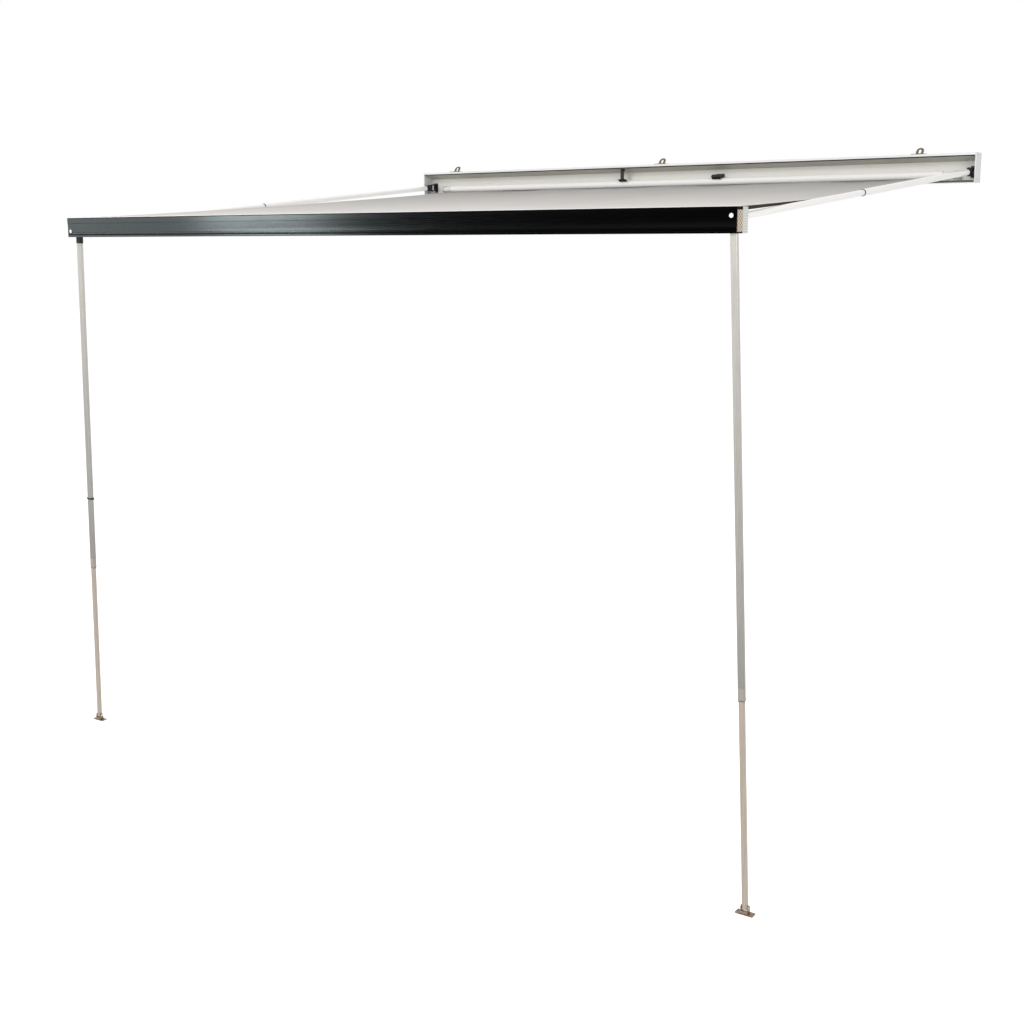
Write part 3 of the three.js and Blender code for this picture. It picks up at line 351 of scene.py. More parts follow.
def painted_inside_shade(material, back_wall_shade, web_shade):
    """Paints shade into a coating by place: a point deeper than half a wall behind every outer face takes
    the pale grey of the painted shade inside, and one above the line of the web's underside takes the darker
    grey of the painted shade under the web."""
    tree = material.node_tree
    shader = tree.nodes["Principled BSDF"]
    coat = shader.inputs["Base Color"].links[0].from_socket
    where = add_node(tree, "ShaderNodeTexCoord").outputs["Object"]
    split = add_node(tree, "ShaderNodeSeparateXYZ", None, {0: where}).outputs
    depths = []
    for axis, number in (("Y", 1), ("Z", 2)):
        for inputs in ({0: split[axis], 1: case_low[number]}, {0: case_high[number], 1: split[axis]}):
            depths.append(add_node(tree, "ShaderNodeMath", {"operation": "SUBTRACT"}, inputs).outputs[0])
    least = depths[0]
    for depth in depths[1:]:
        least = add_node(tree, "ShaderNodeMath", {"operation": "MINIMUM"}, {0: least, 1: depth}).outputs[0]
    inside = add_node(tree, "ShaderNodeMath", {"operation": "GREATER_THAN"}, {0: least, 1: case_wall / 2})
    rise = add_node(tree, "ShaderNodeMath", {"operation": "MULTIPLY_ADD"},
                    {0: split["Y"], 1: web_slope, 2: split["Z"]})
    just_below = 0.0004
    line = web_back + (case_high[1] - case_wall) * web_slope - just_below
    above = add_node(tree, "ShaderNodeMath", {"operation": "GREATER_THAN"}, {0: rise.outputs[0], 1: line})
    behind = add_node(tree, "ShaderNodeMix", {"data_type": "RGBA"},
                      {0: above.outputs[0], 6: linear(back_wall_shade), 7: linear(web_shade)})
    whole = add_node(tree, "ShaderNodeMix", {"data_type": "RGBA"},
                     {0: inside.outputs[0], 6: coat, 7: behind.outputs[2]})
    tree.links.new(whole.outputs[2], shader.inputs["Base Color"])


# The inside of the case takes painted shade: a pale grey on the back wall, and a darker grey under the web.
painted_inside_shade(powder_coat, "ecebe4", "bbb8af")
broken_edges("case_profile", "case", powder_coat, 0.0005)

# Moulded ABS end caps: a fine spark-eroded grain, a little greyer than the paint.
white_abs = finish("moulded_abs_white", "e6e6e4", 0.45)
vary(white_abs, (1, 1, 1), 0.0012, ("e0e0de", "eaeae8"), (0.4, 0.52), 0.00004)
end_cap_screws = [(-0.066, 0.052), (-0.012, 0.052), (-0.012, -0.052), (-0.066, -0.052)]
for side, sign in (("left", -1), ("right", 1)):
    broken_edges("case_end_cap_" + side, "case", white_abs, 0.0008, 3)
    end = max(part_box("case_end_cap_" + side), key=lambda corner: sign * corner[0])[0]
    pan_screws("end_cap_screw_" + side, [(end, y, z) for y, z in end_cap_screws], (sign, 0, 0), "case")

# Two rubber strips are clipped on the lips, where the closed lead bar meets them: a slim black one on the
# lower edge of the top lip, and a wide grey-green one on the front of the bottom lip. Their dark tones are
# also painted shade, for the shade under the top lip and on the front of the bottom lip. The rubber is matt
# and a little cloudy.
black_epdm_and_shade = finish("epdm_rubber_black_and_painted_shade", "101010", 0.6, specular=0.3)
vary(black_epdm_and_shade, (1, 1, 1), 0.002, ("0c0c0c", "181818"), (0.55, 0.7), 0.00003)
green_epdm_and_shade = finish("epdm_rubber_grey_green_and_painted_shade", "4d504b", 0.6, specular=0.3)
vary(green_epdm_and_shade, (1, 1, 1), 0.002, ("474a45", "555852"), (0.55, 0.7), 0.00003)
strips = [
    ("top_lip_seal", black_epdm_and_shade, (0.0022, 0.0046, 0.0008), (case_low[1] + 0.001, case_high[2] - 0.0125)),
    ("bottom_lip_seal", green_epdm_and_shade, (0.0008, 0.0094, 0.0003), (case_low[1] - 0.0005, case_low[2] + 0.0063)),
]
strip_inset = 0.001
strip_ends = [(case_low[0] + strip_inset, 0), (case_high[0] - strip_inset, 0)]
for name, rubber, (thick, high, corner), (strip_y, strip_z) in strips:
    section = rounded_rectangle(thick, high, corner, 4)
    points = along_axis(section, strip_ends, (0, strip_y, strip_z), (1, 0, 0), (0, 1, 0))
    surface(name, points, "case", rubber, across=True)


# Roller
# A welded steel tube, painted white, on which the canopy winds. Plugs close its ends, and it turns
# on a fixed axle between two nosed bearings that are screwed to the back of the case.


def centre(node):
    """The middle of a CAD node's box."""
    return np.mean(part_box(node), axis=0)


# Stoved paint on the tube is smooth and satin.
painted_steel = finish("painted_steel_tube", "ecebe8", 0.42)
vary(painted_steel, (1, 1, 1), 0.004, ("e6e5e2", "f1f0ed"), (0.36, 0.48), 0.00003)
broken_edges("roller_tube", "roller", painted_steel, 0.0003)
broken_edges("roller_axle", "case", zinc_steel, 0.0004)
axle_y, axle_z = centre("roller_axle")[1:]
# Natural nylon is an even pale grey.
pale_nylon = finish("moulded_nylon_natural", "d6d6d2", 0.45, specular=0.4)
vary(pale_nylon, (1, 1, 1), 0.0015, ("cfcfcb", "dcdcd8"), (0.4, 0.52), 0.00004)
plate_thick = 0.004
bearing_screws = [(-0.0105, 0.013), (0.0105, 0.013), (-0.0105, -0.013), (0.0105, -0.013)]
for side in ("left", "right"):
    broken_edges("roller_plug_" + side, "roller", pale_nylon, 0.0004)
    broken_edges("roller_bearing_" + side, "case", pale_nylon, 0.0005)
    middle = centre("roller_bearing_" + side)[0]
    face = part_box("roller_bearing_" + side)[1][1] - plate_thick
    pan_screws("bearing_screw_" + side,
               [(middle + across, face, axle_z + rise) for across, rise in bearing_screws],
               (0, -1, 0), "case", 0.003)


# Fabric roll
# The part of the canopy that is still wound on the roller, seven turns of cloth. Its ends show
# the turns as a spiral, and the outside has the slight waves of cloth that was wound by hand.


def woven_cloth(name, colours, fade=(1.0, 1.0)):
    """Coated polyester canvas: two crossed waves one thread apart give the weave, and slow noise gives the
    uneven coating. The pattern follows the cloth's own UV map, which is in metres, and a fade of (tone,
    length) multiplies in painted shade along the cloth, from 1 at its start to tone at that length. A wave
    texture of scale 1 repeats every 0.31416 m, so its scale is that over the thread's spacing."""
    thread = 0.002
    material = finish(name, colours[0], 0.7, specular=0.14)
    tree = material.node_tree
    shader = tree.nodes["Principled BSDF"]
    shader.inputs["Sheen Weight"].default_value = 0.06
    shader.inputs["Sheen Roughness"].default_value = 0.4
    where = add_node(tree, "ShaderNodeUVMap", {"uv_map": "flat"}).outputs[0]
    waves = []
    for direction in ("X", "Y"):
        waves.append(add_node(tree, "ShaderNodeTexWave",
                              {"wave_type": "BANDS", "bands_direction": direction, "wave_profile": "SIN"},
                              {"Vector": where, "Scale": 0.31416 / thread, "Distortion": 0.4,
                               "Detail": 1.0, "Detail Scale": 2.0}))
    weave = add_node(tree, "ShaderNodeMath", {"operation": "MULTIPLY"},
                     {0: waves[0].outputs["Fac"], 1: waves[1].outputs["Fac"]})
    clouds = add_node(tree, "ShaderNodeTexNoise", None, {"Vector": where, "Scale": 2.4, "Detail": 5.0})
    mixed = add_node(tree, "ShaderNodeMath", {"operation": "MULTIPLY_ADD"},
                     {0: weave.outputs[0], 1: 0.35, 2: clouds.outputs["Fac"]})
    tone = add_node(tree, "ShaderNodeMix", {"data_type": "RGBA"},
                    {0: mixed.outputs[0], 6: linear(colours[0]), 7: linear(colours[1])})
    split = add_node(tree, "ShaderNodeSeparateXYZ", None, {0: where})
    darker = add_node(tree, "ShaderNodeMapRange", {"clamp": True},
                      {0: split.outputs["Y"], 1: 0.0, 2: fade[1], 3: 1.0, 4: fade[0]})
    faded = add_node(tree, "ShaderNodeMix", {"data_type": "RGBA", "blend_type": "MULTIPLY"},
                     {0: 1.0, 6: tone.outputs[2], 7: darker.outputs[0]})
    tree.links.new(faded.outputs[2], shader.inputs["Base Color"])
    raised = add_node(tree, "ShaderNodeBump", None,
                      {"Height": weave.outputs[0], "Distance": 0.00012, "Strength": 0.8})
    tree.links.new(raised.outputs[0], shader.inputs["Normal"])
    return material


# The threads are 0.5 mm apart in the real cloth and are drawn 2 mm apart, so that they show. The side
# of the cloth that is outside on the roll, and below on the canopy, is coated white.
white_canvas = woven_cloth("coated_canvas_white_side", ("faf9f6", "fffefc"))

roll_low, roll_high = (corner[0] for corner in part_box("fabric_roll"))
roll_radius = 0.0168
roll_bore = 0.0134
turns = 7
turn_groove = 0.0004
rounded_end = 0.0008
ripple_height = 0.00022
lap_height, lap_angle = 0.0002, 4.7
turn_angle = np.linspace(0, 2 * np.pi, 72, endpoint=False)
end_radius = np.linspace(roll_bore, roll_radius, turns * 6 + 1)
waves_x = np.linspace(0, 1, 90)


def roll_end(x, outward):
    """The end of the roll: each turn stands 0.4 mm proud of the gap to the next, along a spiral."""
    turn = (end_radius[:, None] - roll_bore) / (roll_radius - roll_bore) * turns - turn_angle / (2 * np.pi)
    depth = turn_groove * (0.5 - 0.5 * np.cos(2 * np.pi * turn))
    return np.stack([
        x + outward * (depth - turn_groove),
        axle_y + end_radius[:, None] * np.cos(turn_angle),
        axle_z + end_radius[:, None] * np.sin(turn_angle),
    ], axis=-1)


# The outside is a cylinder with crossed waves, which fade out at its ends, and with the lap where the
# last turn leaves it below, towards the lead bar.
outside_x = roll_low + rounded_end + (roll_high - roll_low - 2 * rounded_end) * waves_x
crossed = np.sin(31 * waves_x[:, None] + 2 * turn_angle) * np.sin(17 * waves_x[:, None] - turn_angle)
lap = lap_height * ((turn_angle - lap_angle) % (2 * np.pi)) / (2 * np.pi)
outside_r = roll_radius + ripple_height * crossed * np.sin(np.pi * waves_x)[:, None] + lap
outside = np.stack([
    np.broadcast_to(outside_x[:, None], outside_r.shape),
    axle_y + outside_r * np.cos(turn_angle),
    axle_z + outside_r * np.sin(turn_angle),
], axis=-1)
bore = np.stack([
    np.broadcast_to(outside_x[:, None], outside_r.shape),
    np.broadcast_to(axle_y + roll_bore * np.cos(turn_angle), outside_r.shape),
    np.broadcast_to(axle_z + roll_bore * np.sin(turn_angle), outside_r.shape),
], axis=-1)[::-1]
roll_points = np.concatenate([roll_end(roll_low, -1), outside, roll_end(roll_high, 1)[::-1], bore])
roll_uv = np.stack([
    roll_points[..., 0],
    np.broadcast_to(turn_angle * roll_radius, roll_points.shape[:2]),
], axis=-1)
roll = surface("cloth_on_the_roller", roll_points, "roller", white_canvas,
               across=True, along=True, uv=roll_uv)
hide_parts("fabric_roll")


# Rafter hinges, clips and closing catches
# Black nylon brackets screwed to the back of the case carry the rafters on steel pins. Two clips
# hold the folded rafters, and a catch near each end of the bottom lip holds the closed lead bar.

# Glass-filled nylon is deep grey rather than black, with a matt moulded skin.
black_nylon = finish("moulded_nylon_black", "17181a", 0.48, specular=0.4)
vary(black_nylon, (1, 1, 1), 0.0015, ("121315", "1f2022"), (0.42, 0.56), 0.00005)
# The catches are ABS with a fine grain and a dull shine.
grey_abs = finish("moulded_abs_grey", "8d9092", 0.42)
vary(grey_abs, (1, 1, 1), 0.0015, ("84878a", "96999b"), (0.38, 0.5), 0.00004)
hinge_screw_reach, hinge_screw_drop = 0.0075, 0.0038
for side in ("left", "right"):
    broken_edges("rafter_bracket_" + side, "case", black_nylon, 0.0006, 3)
    broken_edges("rafter_pin_" + side, "rafter_" + side, zinc_steel, 0.0004)
    middle = centre("rafter_bracket_" + side)[0]
    back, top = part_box("rafter_bracket_" + side)[1][1:]
    pan_screws("hinge_screw_" + side,
               [(middle + across, back - plate_thick, top - hinge_screw_drop)
                for across in (-hinge_screw_reach, hinge_screw_reach)],
               (0, -1, 0), "case", 0.0026)
    broken_edges("closing_catch_base_" + side, "case", grey_abs, 0.0004)
    broken_edges("closing_catch_lever_" + side, "catch_" + side, grey_abs, 0.0004)
broken_edges("rafter_clip_long", "case", black_nylon, 0.0004)
broken_edges("rafter_clip_short", "case", black_nylon, 0.0004)


# Rafters
# Each is a pair of round aluminium tubes painted white, the inner one sliding in the outer. A
# nylon knuckle turns on the hinge pin, and a bush on the outer tube guides the inner one.

bar_slide = next(joint for joint in frame["joints"] if joint["name"] == "bar_slide")
up_slope = Vector(bar_slide["axis"]).normalized()


def ring(radius, count):
    """A circle as points and outward normals, both in two columns."""
    angle = np.linspace(0, 2 * np.pi, count, endpoint=False)
    normals = np.stack([np.cos(angle), np.sin(angle)], axis=-1)
    return radius * normals, normals


def wall_stations(start, end, wall, ease=0.0003):
    """Stations of a tube's wall: the outside from start to end, and the bore back, edges eased."""
    return [
        (start + ease, 0), (end - ease, 0), (end, ease), (end, wall - ease),
        (end - ease, wall), (start + ease, wall), (start, wall - ease), (start, ease),
    ]


def span(node, origin, axis):
    """The least and the greatest distance that a CAD node reaches along an axis from a point."""
    vertices = frame["nodes"][node].data.vertices
    points = np.empty(3 * len(vertices), dtype=np.float32)
    vertices.foreach_get("co", points)
    axis = np.array(axis) / np.linalg.norm(axis)
    distance = (points.reshape(-1, 3).astype(float) - np.array(origin)) @ axis
    return distance.min(), distance.max()


def half_width(node):
    """Half of a CAD node's width along X, which is the radius of a tube that runs square to X."""
    low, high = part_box(node)
    return (high[0] - low[0]) / 2


# Painted tube: the same white as the case but smoother, with faint drawing lines under the paint.
painted_tube = finish("painted_aluminium_tube", "f8f6f2", 0.34, coat=0.15)
vary(painted_tube, (0.06, 0.2, 0.06), 0.02, ("f4f1ed", "fdfbf7"), (0.3, 0.4), 0.00003)
away = -np.array(up_slope)
for side in ("left", "right"):
    body, slider = "rafter_" + side, "rafter_extension_" + side
    hinge = centre("rafter_pin_" + side)
    broken_edges("rafter_knuckle_" + side, body, black_nylon, 0.0005)
    broken_edges("rafter_tip_" + side, slider, black_nylon, 0.0006, 3)
    tubes = [
        ("rafter_outer_", body, "white_tube", painted_tube, 0.0015),
        ("rafter_inner_", slider, "white_tube", painted_tube, 0.0014),
        # The bush is black nylon, and its dark ring at the end of the outer tube is also painted shade, for
        # the shade in the tube's mouth.
        ("rafter_bush_", body, "black_plastic", black_nylon, 0.0016),
    ]
    for prefix, carrier, finish_slot, material, wall in tubes:
        node = prefix + side
        stations = wall_stations(*span(node, hinge, away), wall)
        points = along_axis(ring(half_width(node), 72), stations, hinge, away, (1, 0, 0))
        tube = surface(node + "_tube", points, carrier, material, across=True, along=True)
        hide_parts(node)


# Lead bar
# A black anodised extrusion across the front: a channel below for the folded legs, a groove on
# top for the bead of the canopy, and a shallow band along its face. Moulded caps close its ends.

# Anodising keeps the die lines of the extrusion, which run its whole length about a millimetre apart.
black_anodised = finish("black_anodised_aluminium", "020202", 0.24, specular=0.015)
vary(black_anodised, (40, 1, 1), 0.002, ("010101", "030303"), (0.2, 0.3), 0.00003)
bar = broken_edges("lead_bar_profile", "lead_bar", black_anodised, 0.0004)
flagged_to_bar.objects.link(bar)

lattice_across, lattice_up = 2.0, 5.0
rib_count = 10


def relief(name, corners, plane, sign, height, material):
    """A moulded face on the end of the bar: height(u, v) in metres over shares of its width and its
    height, sloping to 0.1 mm at the rim. It is one closed shell, 0.5 mm above the plane at least."""
    rim_height, floor_height, slope_width, wall = 0.0001, 0.0004, 0.0006, 0.00009
    (y0, z0), (y1, z1) = corners
    u, v = np.meshgrid(np.linspace(0, 1, 97)[::sign], np.linspace(0, 1, 193))
    rim = np.minimum(np.minimum(u, 1 - u) * (y1 - y0), np.minimum(v, 1 - v) * (z1 - z0))
    rise = rim_height + np.clip(rim / slope_width, 0, 1) * (floor_height + height(u, v))
    top = np.stack([plane + sign * rise, y0 + (y1 - y0) * u, z0 + (z1 - z0) * v], axis=-1)
    face = surface(name, top, "lead_bar", material,
                   uv=np.stack([u, v], axis=-1), closed=False, smooth=60.0)
    back = face.modifiers.new("back", "SOLIDIFY")
    back.thickness = wall


def from_line(turns):
    """How far a number is from the nearest whole one, from 0 to 0.5."""
    return abs((turns + 0.5) % 1.0 - 0.5)


def lattice(u, v):
    """Ridges 0.9 mm high along two sets of slanted lines, with diamond recesses between them: the
    share of the height is 1.35 less the distance from a line over 0.16, held between 0 and 1."""
    nearest = np.minimum(from_line(lattice_across * u + lattice_up * v),
                         from_line(lattice_across * u - lattice_up * v))
    return 0.0009 * np.clip(1.35 - nearest / 0.16, 0, 1)


def ribs(u, v):
    """Ribs across the face, each 0.5 mm high with a rounded top: a squared cosine of v."""
    return 0.0005 * (0.5 + 0.5 * np.cos(2 * np.pi * rib_count * v)) ** 2 + 0 * u


def painted_relief_shade(material, low, high, across, up, blur):
    """Paints shade into a relief by its own UV map, like its form: the high tone near the lines where across
    * u plus or minus up * v is a whole number, and the low tone, which is painted shade, from blur away from
    them."""
    tree = material.node_tree
    shader = tree.nodes["Principled BSDF"]
    where = add_node(tree, "ShaderNodeUVMap", {"uv_map": "flat"}).outputs[0]
    split = add_node(tree, "ShaderNodeSeparateXYZ", None, {0: where})
    distances = []
    for way in (1.0, -1.0):
        raised = add_node(tree, "ShaderNodeMath", {"operation": "MULTIPLY"},
                          {0: split.outputs["Y"], 1: way * up})
        turns = add_node(tree, "ShaderNodeMath", {"operation": "MULTIPLY_ADD"},
                         {0: split.outputs["X"], 1: across, 2: raised.outputs[0]})
        distances.append(add_node(tree, "ShaderNodeMath", {"operation": "PINGPONG"},
                                  {0: turns.outputs[0], 1: 0.5}))
    nearest = add_node(tree, "ShaderNodeMath", {"operation": "MINIMUM"},
                       {0: distances[0].outputs[0], 1: distances[1].outputs[0]})
    share_low = add_node(tree, "ShaderNodeMapRange", {"clamp": True},
                         {0: nearest.outputs[0], 1: 0.4 * blur, 2: blur})
    tone = add_node(tree, "ShaderNodeMix", {"data_type": "RGBA"},
                    {0: share_low.outputs[0], 6: linear(high), 7: linear(low)})
    tree.links.new(tone.outputs[2], shader.inputs["Base Color"])
    return material


# The rear cap is light grey ABS with ten fine ribs, the front cap tan with a raised lattice. The low places
# of both take a darker tone, which is painted shade between ribs and ridges.
ribbed_abs = finish("moulded_abs_light_grey", "c9ccc5", 0.42)
vary(ribbed_abs, (1, 1, 1), 0.0015, ("c4c7c0", "ced1ca"), (0.38, 0.5), 0.00003)
tan_abs = finish("moulded_abs_tan", "a8987f", 0.5)
vary(tan_abs, (1, 1, 1), 0.0015, ("9c8c74", "b4a48c"), (0.44, 0.58), 0.00004)
# The low tones of the lattice and the ribs are painted shade in their recesses.
lattice_abs = painted_relief_shade(finish("lattice_abs_tan", "b4a48c", 0.45), "7d6650", "e2d5bf",
                       lattice_across, lattice_up, 0.2)
ribs_abs = painted_relief_shade(finish("ribs_abs_light_grey", "c9ccc5", 0.42), "bec2ba", "d6d9d2",
                    0.0, rib_count, 0.4)
# The pins' heads and the bead are bleached nylon, nearly white and a little waxy.
white_nylon = finish("moulded_nylon_white", "f4f3f0", 0.4)
vary(white_nylon, (1, 1, 1), 0.002, ("efeeea", "f8f7f4"), (0.36, 0.46), 0.00002)
cap_rim = 0.0012
catch_screws = [(-0.013, 0.0185), (0.013, 0.0185), (-0.013, -0.0185), (0.013, -0.0185)]
cap_faces = [
    ("front_cap_lattice_", "bar_front_cap_", lattice, lattice_abs, "tan_plastic"),
    ("rear_cap_ribs_", "bar_rear_cap_", ribs, ribs_abs, "ribbed_plastic"),
]
for side, sign in (("left", -1), ("right", 1)):
    broken_edges("rafter_catch_" + side, "lead_bar", black_nylon, 0.0005)
    middle_x, _, middle_z = centre("rafter_catch_" + side)
    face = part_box("rafter_catch_" + side)[0][1] + plate_thick
    pan_screws("catch_screw_" + side,
               [(middle_x + across, face, middle_z + rise) for across, rise in catch_screws],
               (0, 1, 0), "lead_bar", 0.003)
    broken_edges("leg_pivot_pin_" + side, "lead_bar", white_nylon, 0.0004, 3)
    broken_edges("bar_front_cap_" + side, "lead_bar", tan_abs, 0.0004)
    broken_edges("bar_rear_cap_" + side, "lead_bar", ribbed_abs, 0.0004)
    for name, cap, height, material, finish_slot in cap_faces:
        cap_low, cap_high = (np.array(corner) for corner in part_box(cap + side))
        corners = (cap_low[1:] + cap_rim, cap_high[1:] - cap_rim)
        plane = cap_high[0] if sign > 0 else cap_low[0]
        relief(name + side, corners, plane, sign, height, material)


# Canopy
# One piece of coated polyester, cut as a trapezoid: narrow where it leaves the underside of the
# roll, wide where its bead slides into the lead bar. It hangs a little between the two.

canopy_low, canopy_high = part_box("canopy")
bead_half = half_width("canopy_bead")
roller_half = (roll_high - roll_low) / 2
canopy_middle = centre("canopy_bead")[0]
front_rise, back_drop = 0.0009, 0.0006
cloth_front = (canopy_low[1], canopy_low[2] + front_rise)
cloth_back = (canopy_high[1], canopy_high[2] - back_drop)
run, climb = cloth_back[0] - cloth_front[0], cloth_back[1] - cloth_front[1]
canopy_length = math.hypot(run, climb)
cloth_thick, hem_thick = 0.0009, 0.0006
sag = 0.008
fold_height = 0.0016
gather_height, gather_reach = 0.0026, 0.03


def half_at(share):
    """Half of the canopy's breadth, which runs evenly from the bead's at the bar to the roll's."""
    return bead_half + (roller_half - bead_half) * share


def cloth_at(breadth, share, lift=0.0):
    """The canopy at breadth from -1 to 1 and share from 0 at the bar to 1 at the roll: it hangs by
    4 * sag * share * (1 - share), has low folds between, and gathers in longer waves near the roll."""
    x = half_at(share) * breadth
    folds = fold_height * np.sin(np.pi * share) ** 0.6 * (
        np.sin(9.0 * breadth + 3.1 * share + 0.4)
        + 0.6 * np.sin(17.0 * breadth - 5.0 * share + 1.7)
        + 0.35 * np.sin(31.0 * breadth + 2.0 * share)
    )
    left = (1 - share) / gather_reach
    waves = 0.9 + np.sin(10.1 * x + 1.1) + 0.5 * np.sin(17.0 * x + 0.3)
    gather = gather_height * left * np.exp(1 - left) * waves
    fall = cloth_front[1] + climb * share - 4 * sag * share * (1 - share)
    y = cloth_front[0] + run * share
    return np.stack([canopy_middle + x, y + 0 * x, fall + folds + gather + lift], axis=-1)


def follow_canopy(piece):
    """Gives a piece of the canopy its own copy of its mesh."""
    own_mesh(piece)


def cloth_wall(piece, thick):
    """Gives a sheet its thickness, half of it to each side."""
    wall = piece.modifiers.new("cloth_thickness", "SOLIDIFY")
    wall.thickness = thick
    wall.offset = 0.0
    return wall


# The upper side of the cloth is a warm grey, with painted shade that darkens it towards the roll, to half at
# the roll. The rows of the grid draw closer together there, where the cloth gathers.
canvas = woven_cloth("coated_canvas_grey_side", ("cdc9c3", "d8d4cf"), fade=(0.5, canopy_length))
share = 1 - (1 - np.linspace(0, 1, 151)[:, None]) ** 1.25
breadth = np.linspace(-1, 1, 241)[None, :]
canopy_uv = np.stack([half_at(share) * breadth, canopy_length * share + 0 * breadth], axis=-1)
canopy = surface("canopy_cloth", cloth_at(breadth, share), "case", canvas,
                 uv=canopy_uv, closed=False, smooth=80.0)
canopy.data.materials.append(white_canvas)
cloth_wall(canopy, cloth_thick).material_offset = 1
follow_canopy(canopy)
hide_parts("canopy")

# The front hem is turned up over the cloth, so that a strip of the white side, 12 mm wide, shows along
# the bar.
hem_start, hem_end = 0.0005, 0.0054
hem_share = np.linspace(hem_start, hem_end, 5)[:, None]
hem_breadth = np.linspace(-0.9995, 0.9995, 241)[None, :]
hem = surface("canopy_front_hem", cloth_at(hem_breadth, hem_share, cloth_thick), "case",
              white_canvas, uv=cloth_at(hem_breadth, hem_share)[..., :2], closed=False, smooth=80.0)
cloth_wall(hem, hem_thick)
follow_canopy(hem)

# A dark brown woven tape, ribbed and dull, is sewn along each side edge and hangs from it. Its dark is
# painted shade, a dark sheet where the gap between the cloth's edge and the rafter lies in shade. It droops
# by 12 mm at the bar, and less and less towards the roll: droop = least + extra * exp(-share / fade).
# Its section has eight points: how far each lies outward of the edge, and how high. A height beyond
# -0.01 is a share of the droop, and any other one is in metres.
painted_shade_tape = finish("woven_tape_painted_shade_dark", "2c2620", 0.8, specular=0.2)
vary(painted_shade_tape, (1, 1, 1), 0.0012, ("231e19", "373029"), (0.7, 0.9), 0.0001)
least_droop, extra_droop, droop_fade = 0.0015, 0.0105, 0.28
tape_share = np.linspace(0.0, 0.995, 161)[:, None]
tape_drop = least_droop + extra_droop * np.exp(-tape_share / droop_fade)
outward = np.array([-0.0014, -0.0002, 0.0008, 0.0011, 0.0010, 0.0002, -0.0001, -0.0008])[None, :]
hang = np.array([-0.0002, 0.0004, 0.0, -0.35, -1.0, -1.0, -0.35, -0.06])[None, :]
tape_below = 0.0006
for side, sign in (("left", -1), ("right", 1)):
    edge = cloth_at(np.full_like(tape_share, sign), tape_share)
    tape_points = np.repeat(edge, outward.size, axis=1)
    tape_points[..., 0] += sign * outward
    tape_points[..., 2] += np.where(hang < -0.01, hang * tape_drop, hang) - tape_below
    tape = surface("canopy_side_shade_tape_" + side, tape_points, "case", painted_shade_tape,
                   across=True, smooth=50.0)
    follow_canopy(tape)

stitch_points = 8


def sewn_thread(name, path, across):
    """A thread of 0.7 mm along a path in the cloth: its middle rises 0.4 mm and dips once in each
    stitch, so that the stitch shows as a short raised line."""
    step = np.arange(len(path))
    middle = path.copy()
    middle[:, 2] += 0.0004 * np.cos(2 * np.pi * step / stitch_points)
    angle = np.linspace(0, 2 * np.pi, 6, endpoint=False)
    circle = 0.00035 * (np.outer(np.cos(angle), across) + np.outer(np.sin(angle), (0, 0, 1)))
    made = surface(name, middle[:, None, :] + circle[None], "case", white_canvas,
                   across=True, uv=np.repeat(path[:, None, :2], angle.size, axis=1), smooth=80.0)
    follow_canopy(made)
    return made


# The stitches are 5 mm long, as in real canvas work, in one row on the hem and one beside each tape.
hem_stitches, side_stitches = 594, 470
hem_row, side_row = 0.0042, 0.9965
seam = np.linspace(-0.998, 0.998, hem_stitches * stitch_points + 1)
sewn_thread("hem_stitches", cloth_at(seam, np.full_like(seam, hem_row), 0.0012), (0, 1, 0))
seam = np.linspace(0.008, 0.99, side_stitches * stitch_points + 1)
for side, sign in (("left", -1), ("right", 1)):
    beside_tape = cloth_at(np.full_like(seam, sign * side_row), seam, 0.0005)
    sewn_thread("side_stitches_" + side, beside_tape, (1, 0, 0))
broken_edges("canopy_bead", "lead_bar", white_nylon, 0.0002)


# Legs
# Each is a pair of rounded rectangular aluminium tubes, the outer anodised silver and the inner a
# pale beige. A black knuckle turns on the pin in the lead bar, and a collar with a rubber wiper
# guides the inner tube.


def painted_shade_below(material, top, bottom, share):
    """Paints shade into a tube, darker towards the bottom: its colour is multiplied by 1 at the height top,
    by share at the height bottom, and in proportion between them, by the object's own Z."""
    tree = material.node_tree
    shader = tree.nodes["Principled BSDF"]
    unshaded_colour = shader.inputs["Base Color"].links[0].from_socket
    where = add_node(tree, "ShaderNodeTexCoord").outputs["Object"]
    split = add_node(tree, "ShaderNodeSeparateXYZ", None, {0: where})
    factor = add_node(tree, "ShaderNodeMapRange", {"clamp": True},
                      {0: split.outputs["Z"], 1: bottom, 2: top, 3: share, 4: 1.0})
    shaded_colour = add_node(tree, "ShaderNodeMix", {"data_type": "RGBA", "blend_type": "MULTIPLY"},
                     {0: 1.0, 6: unshaded_colour, 7: factor.outputs[0]})
    tree.links.new(shaded_colour.outputs[2], shader.inputs["Base Color"])


# Anodised tube: matt metal with drawing lines along it. The outer one is silver, with painted shade that
# dulls it further down, and the inner one has the warmer tone of an older coat.
silver_tube = finish("silver_anodised_aluminium", "c9c5be", 0.3, metallic=0.7)
vary(silver_tube, (1, 1, 60), 0.0025, ("bfbbb4", "d3d0c9"), (0.26, 0.36), 0.00003)
outer_low, outer_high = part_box("leg_outer_right")
# Painted shade darkens the outer tube towards its foot, to 0.45 of its colour.
painted_shade_below(silver_tube, outer_high[2], outer_low[2], 0.45)
beige_tube = finish("beige_anodised_aluminium", "a69b8e", 0.3, metallic=0.7)
vary(beige_tube, (1, 1, 60), 0.0025, ("9c9184", "b0a599"), (0.26, 0.36), 0.00003)
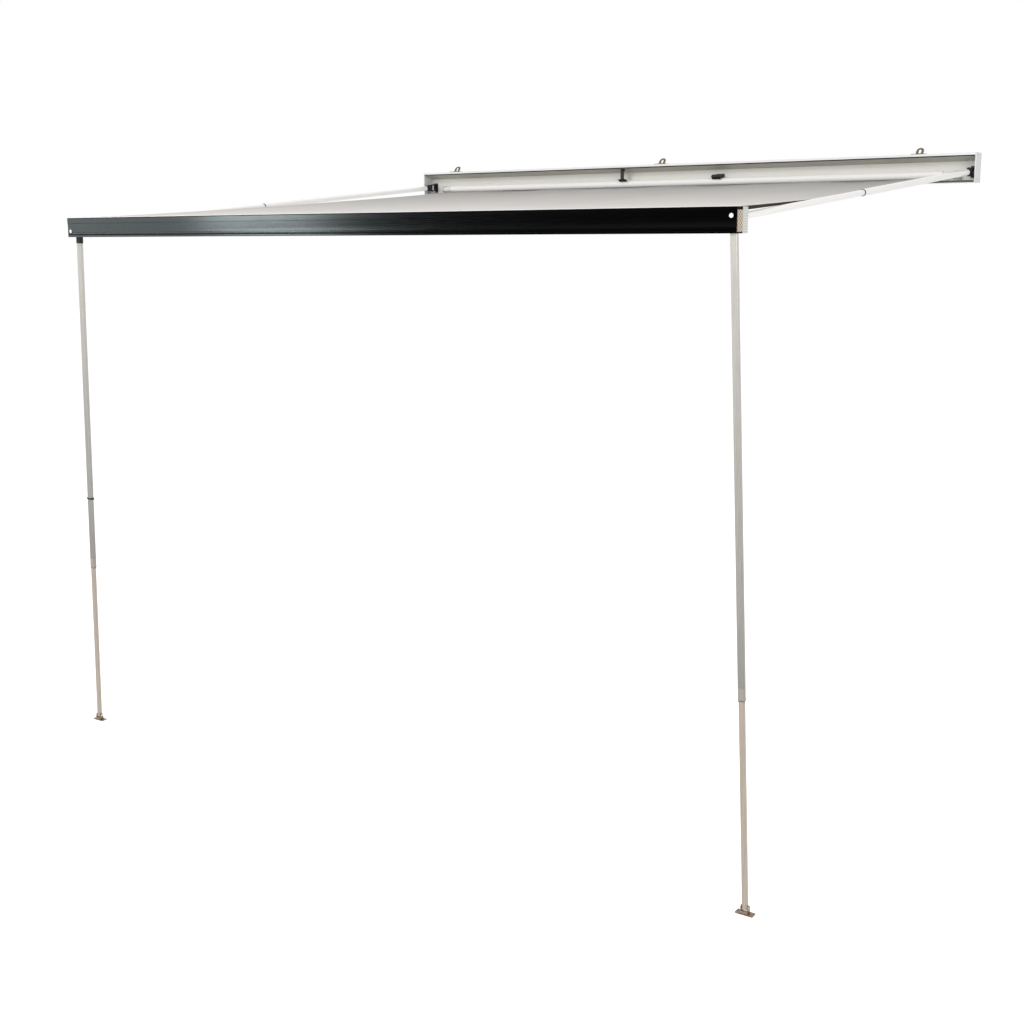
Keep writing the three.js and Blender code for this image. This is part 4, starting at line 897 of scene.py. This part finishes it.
# The collars are moulded nylon, in a tone a little lighter than the tube above them.
collar_nylon = finish("moulded_nylon_beige", "a8a097", 0.45, specular=0.4)
vary(collar_nylon, (1, 1, 1), 0.0015, ("a19990", "afa79e"), (0.4, 0.52), 0.00003)
# The pressed steel feet are passivated to a brown that is blotched where they were handled.
brown_steel = finish("passivated_steel_plate", "867564", 0.36, metallic=0.9)
vary(brown_steel, (1, 1, 1), 0.006, ("6a5a4b", "a69481"), (0.28, 0.46), 0.00004)
for side in ("left", "right"):
    body, slider = "leg_" + side, "leg_extension_" + side
    depth_middle = centre("leg_knuckle_" + side)[1]
    pivot = centre("leg_pivot_pin_" + side)
    ankle = centre("foot_pin_" + side)
    ankle[0] = centre("foot_plate_" + side)[0]
    pivot[1] = ankle[1] = depth_middle
    down = ankle - pivot
    broken_edges("leg_knuckle_" + side, body, black_nylon, 0.0006, 3)
    tubes = [
        ("leg_outer_", body, silver_tube, (0.022, 0.018, 0.004), 0.0015),
        ("leg_inner_", slider, beige_tube, (0.0182, 0.0142, 0.0021), 0.0013),
    ]
    for prefix, carrier, material, section, wall in tubes:
        node = prefix + side
        stations = wall_stations(*span(node, pivot, down), wall)
        points = along_axis(rounded_rectangle(*section), stations, pivot, down, (1, 0, 0))
        tube = surface(node + "_tube", points, carrier, material, across=True, along=True)
        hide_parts(node)
    # The wiper is a rubber ring 1.1 mm thick that stands 2.6 mm out of the collar. Its black is also painted
    # shade, for the shadowed gap under the collar.
    broken_edges("leg_collar_" + side, body, collar_nylon, 0.0004)
    collar_end = span("leg_collar_" + side, pivot, down)[1]
    stations = wall_stations(collar_end - 0.0004, collar_end + 0.0026, 0.0011, 0.0002)
    points = along_axis(rounded_rectangle(0.0206, 0.0166, 0.0033), stations, pivot, down, (1, 0, 0))
    surface("leg_wiper_" + side, points, body, black_epdm_and_shade, across=True, along=True)
    broken_edges("foot_plate_" + side, "foot_" + side, brown_steel, 0.0005)
    broken_edges("foot_pin_" + side, "foot_" + side, zinc_steel, 0.0005)
broken_edges("leg_ring_left", "leg_left", black_nylon, 0.0003)
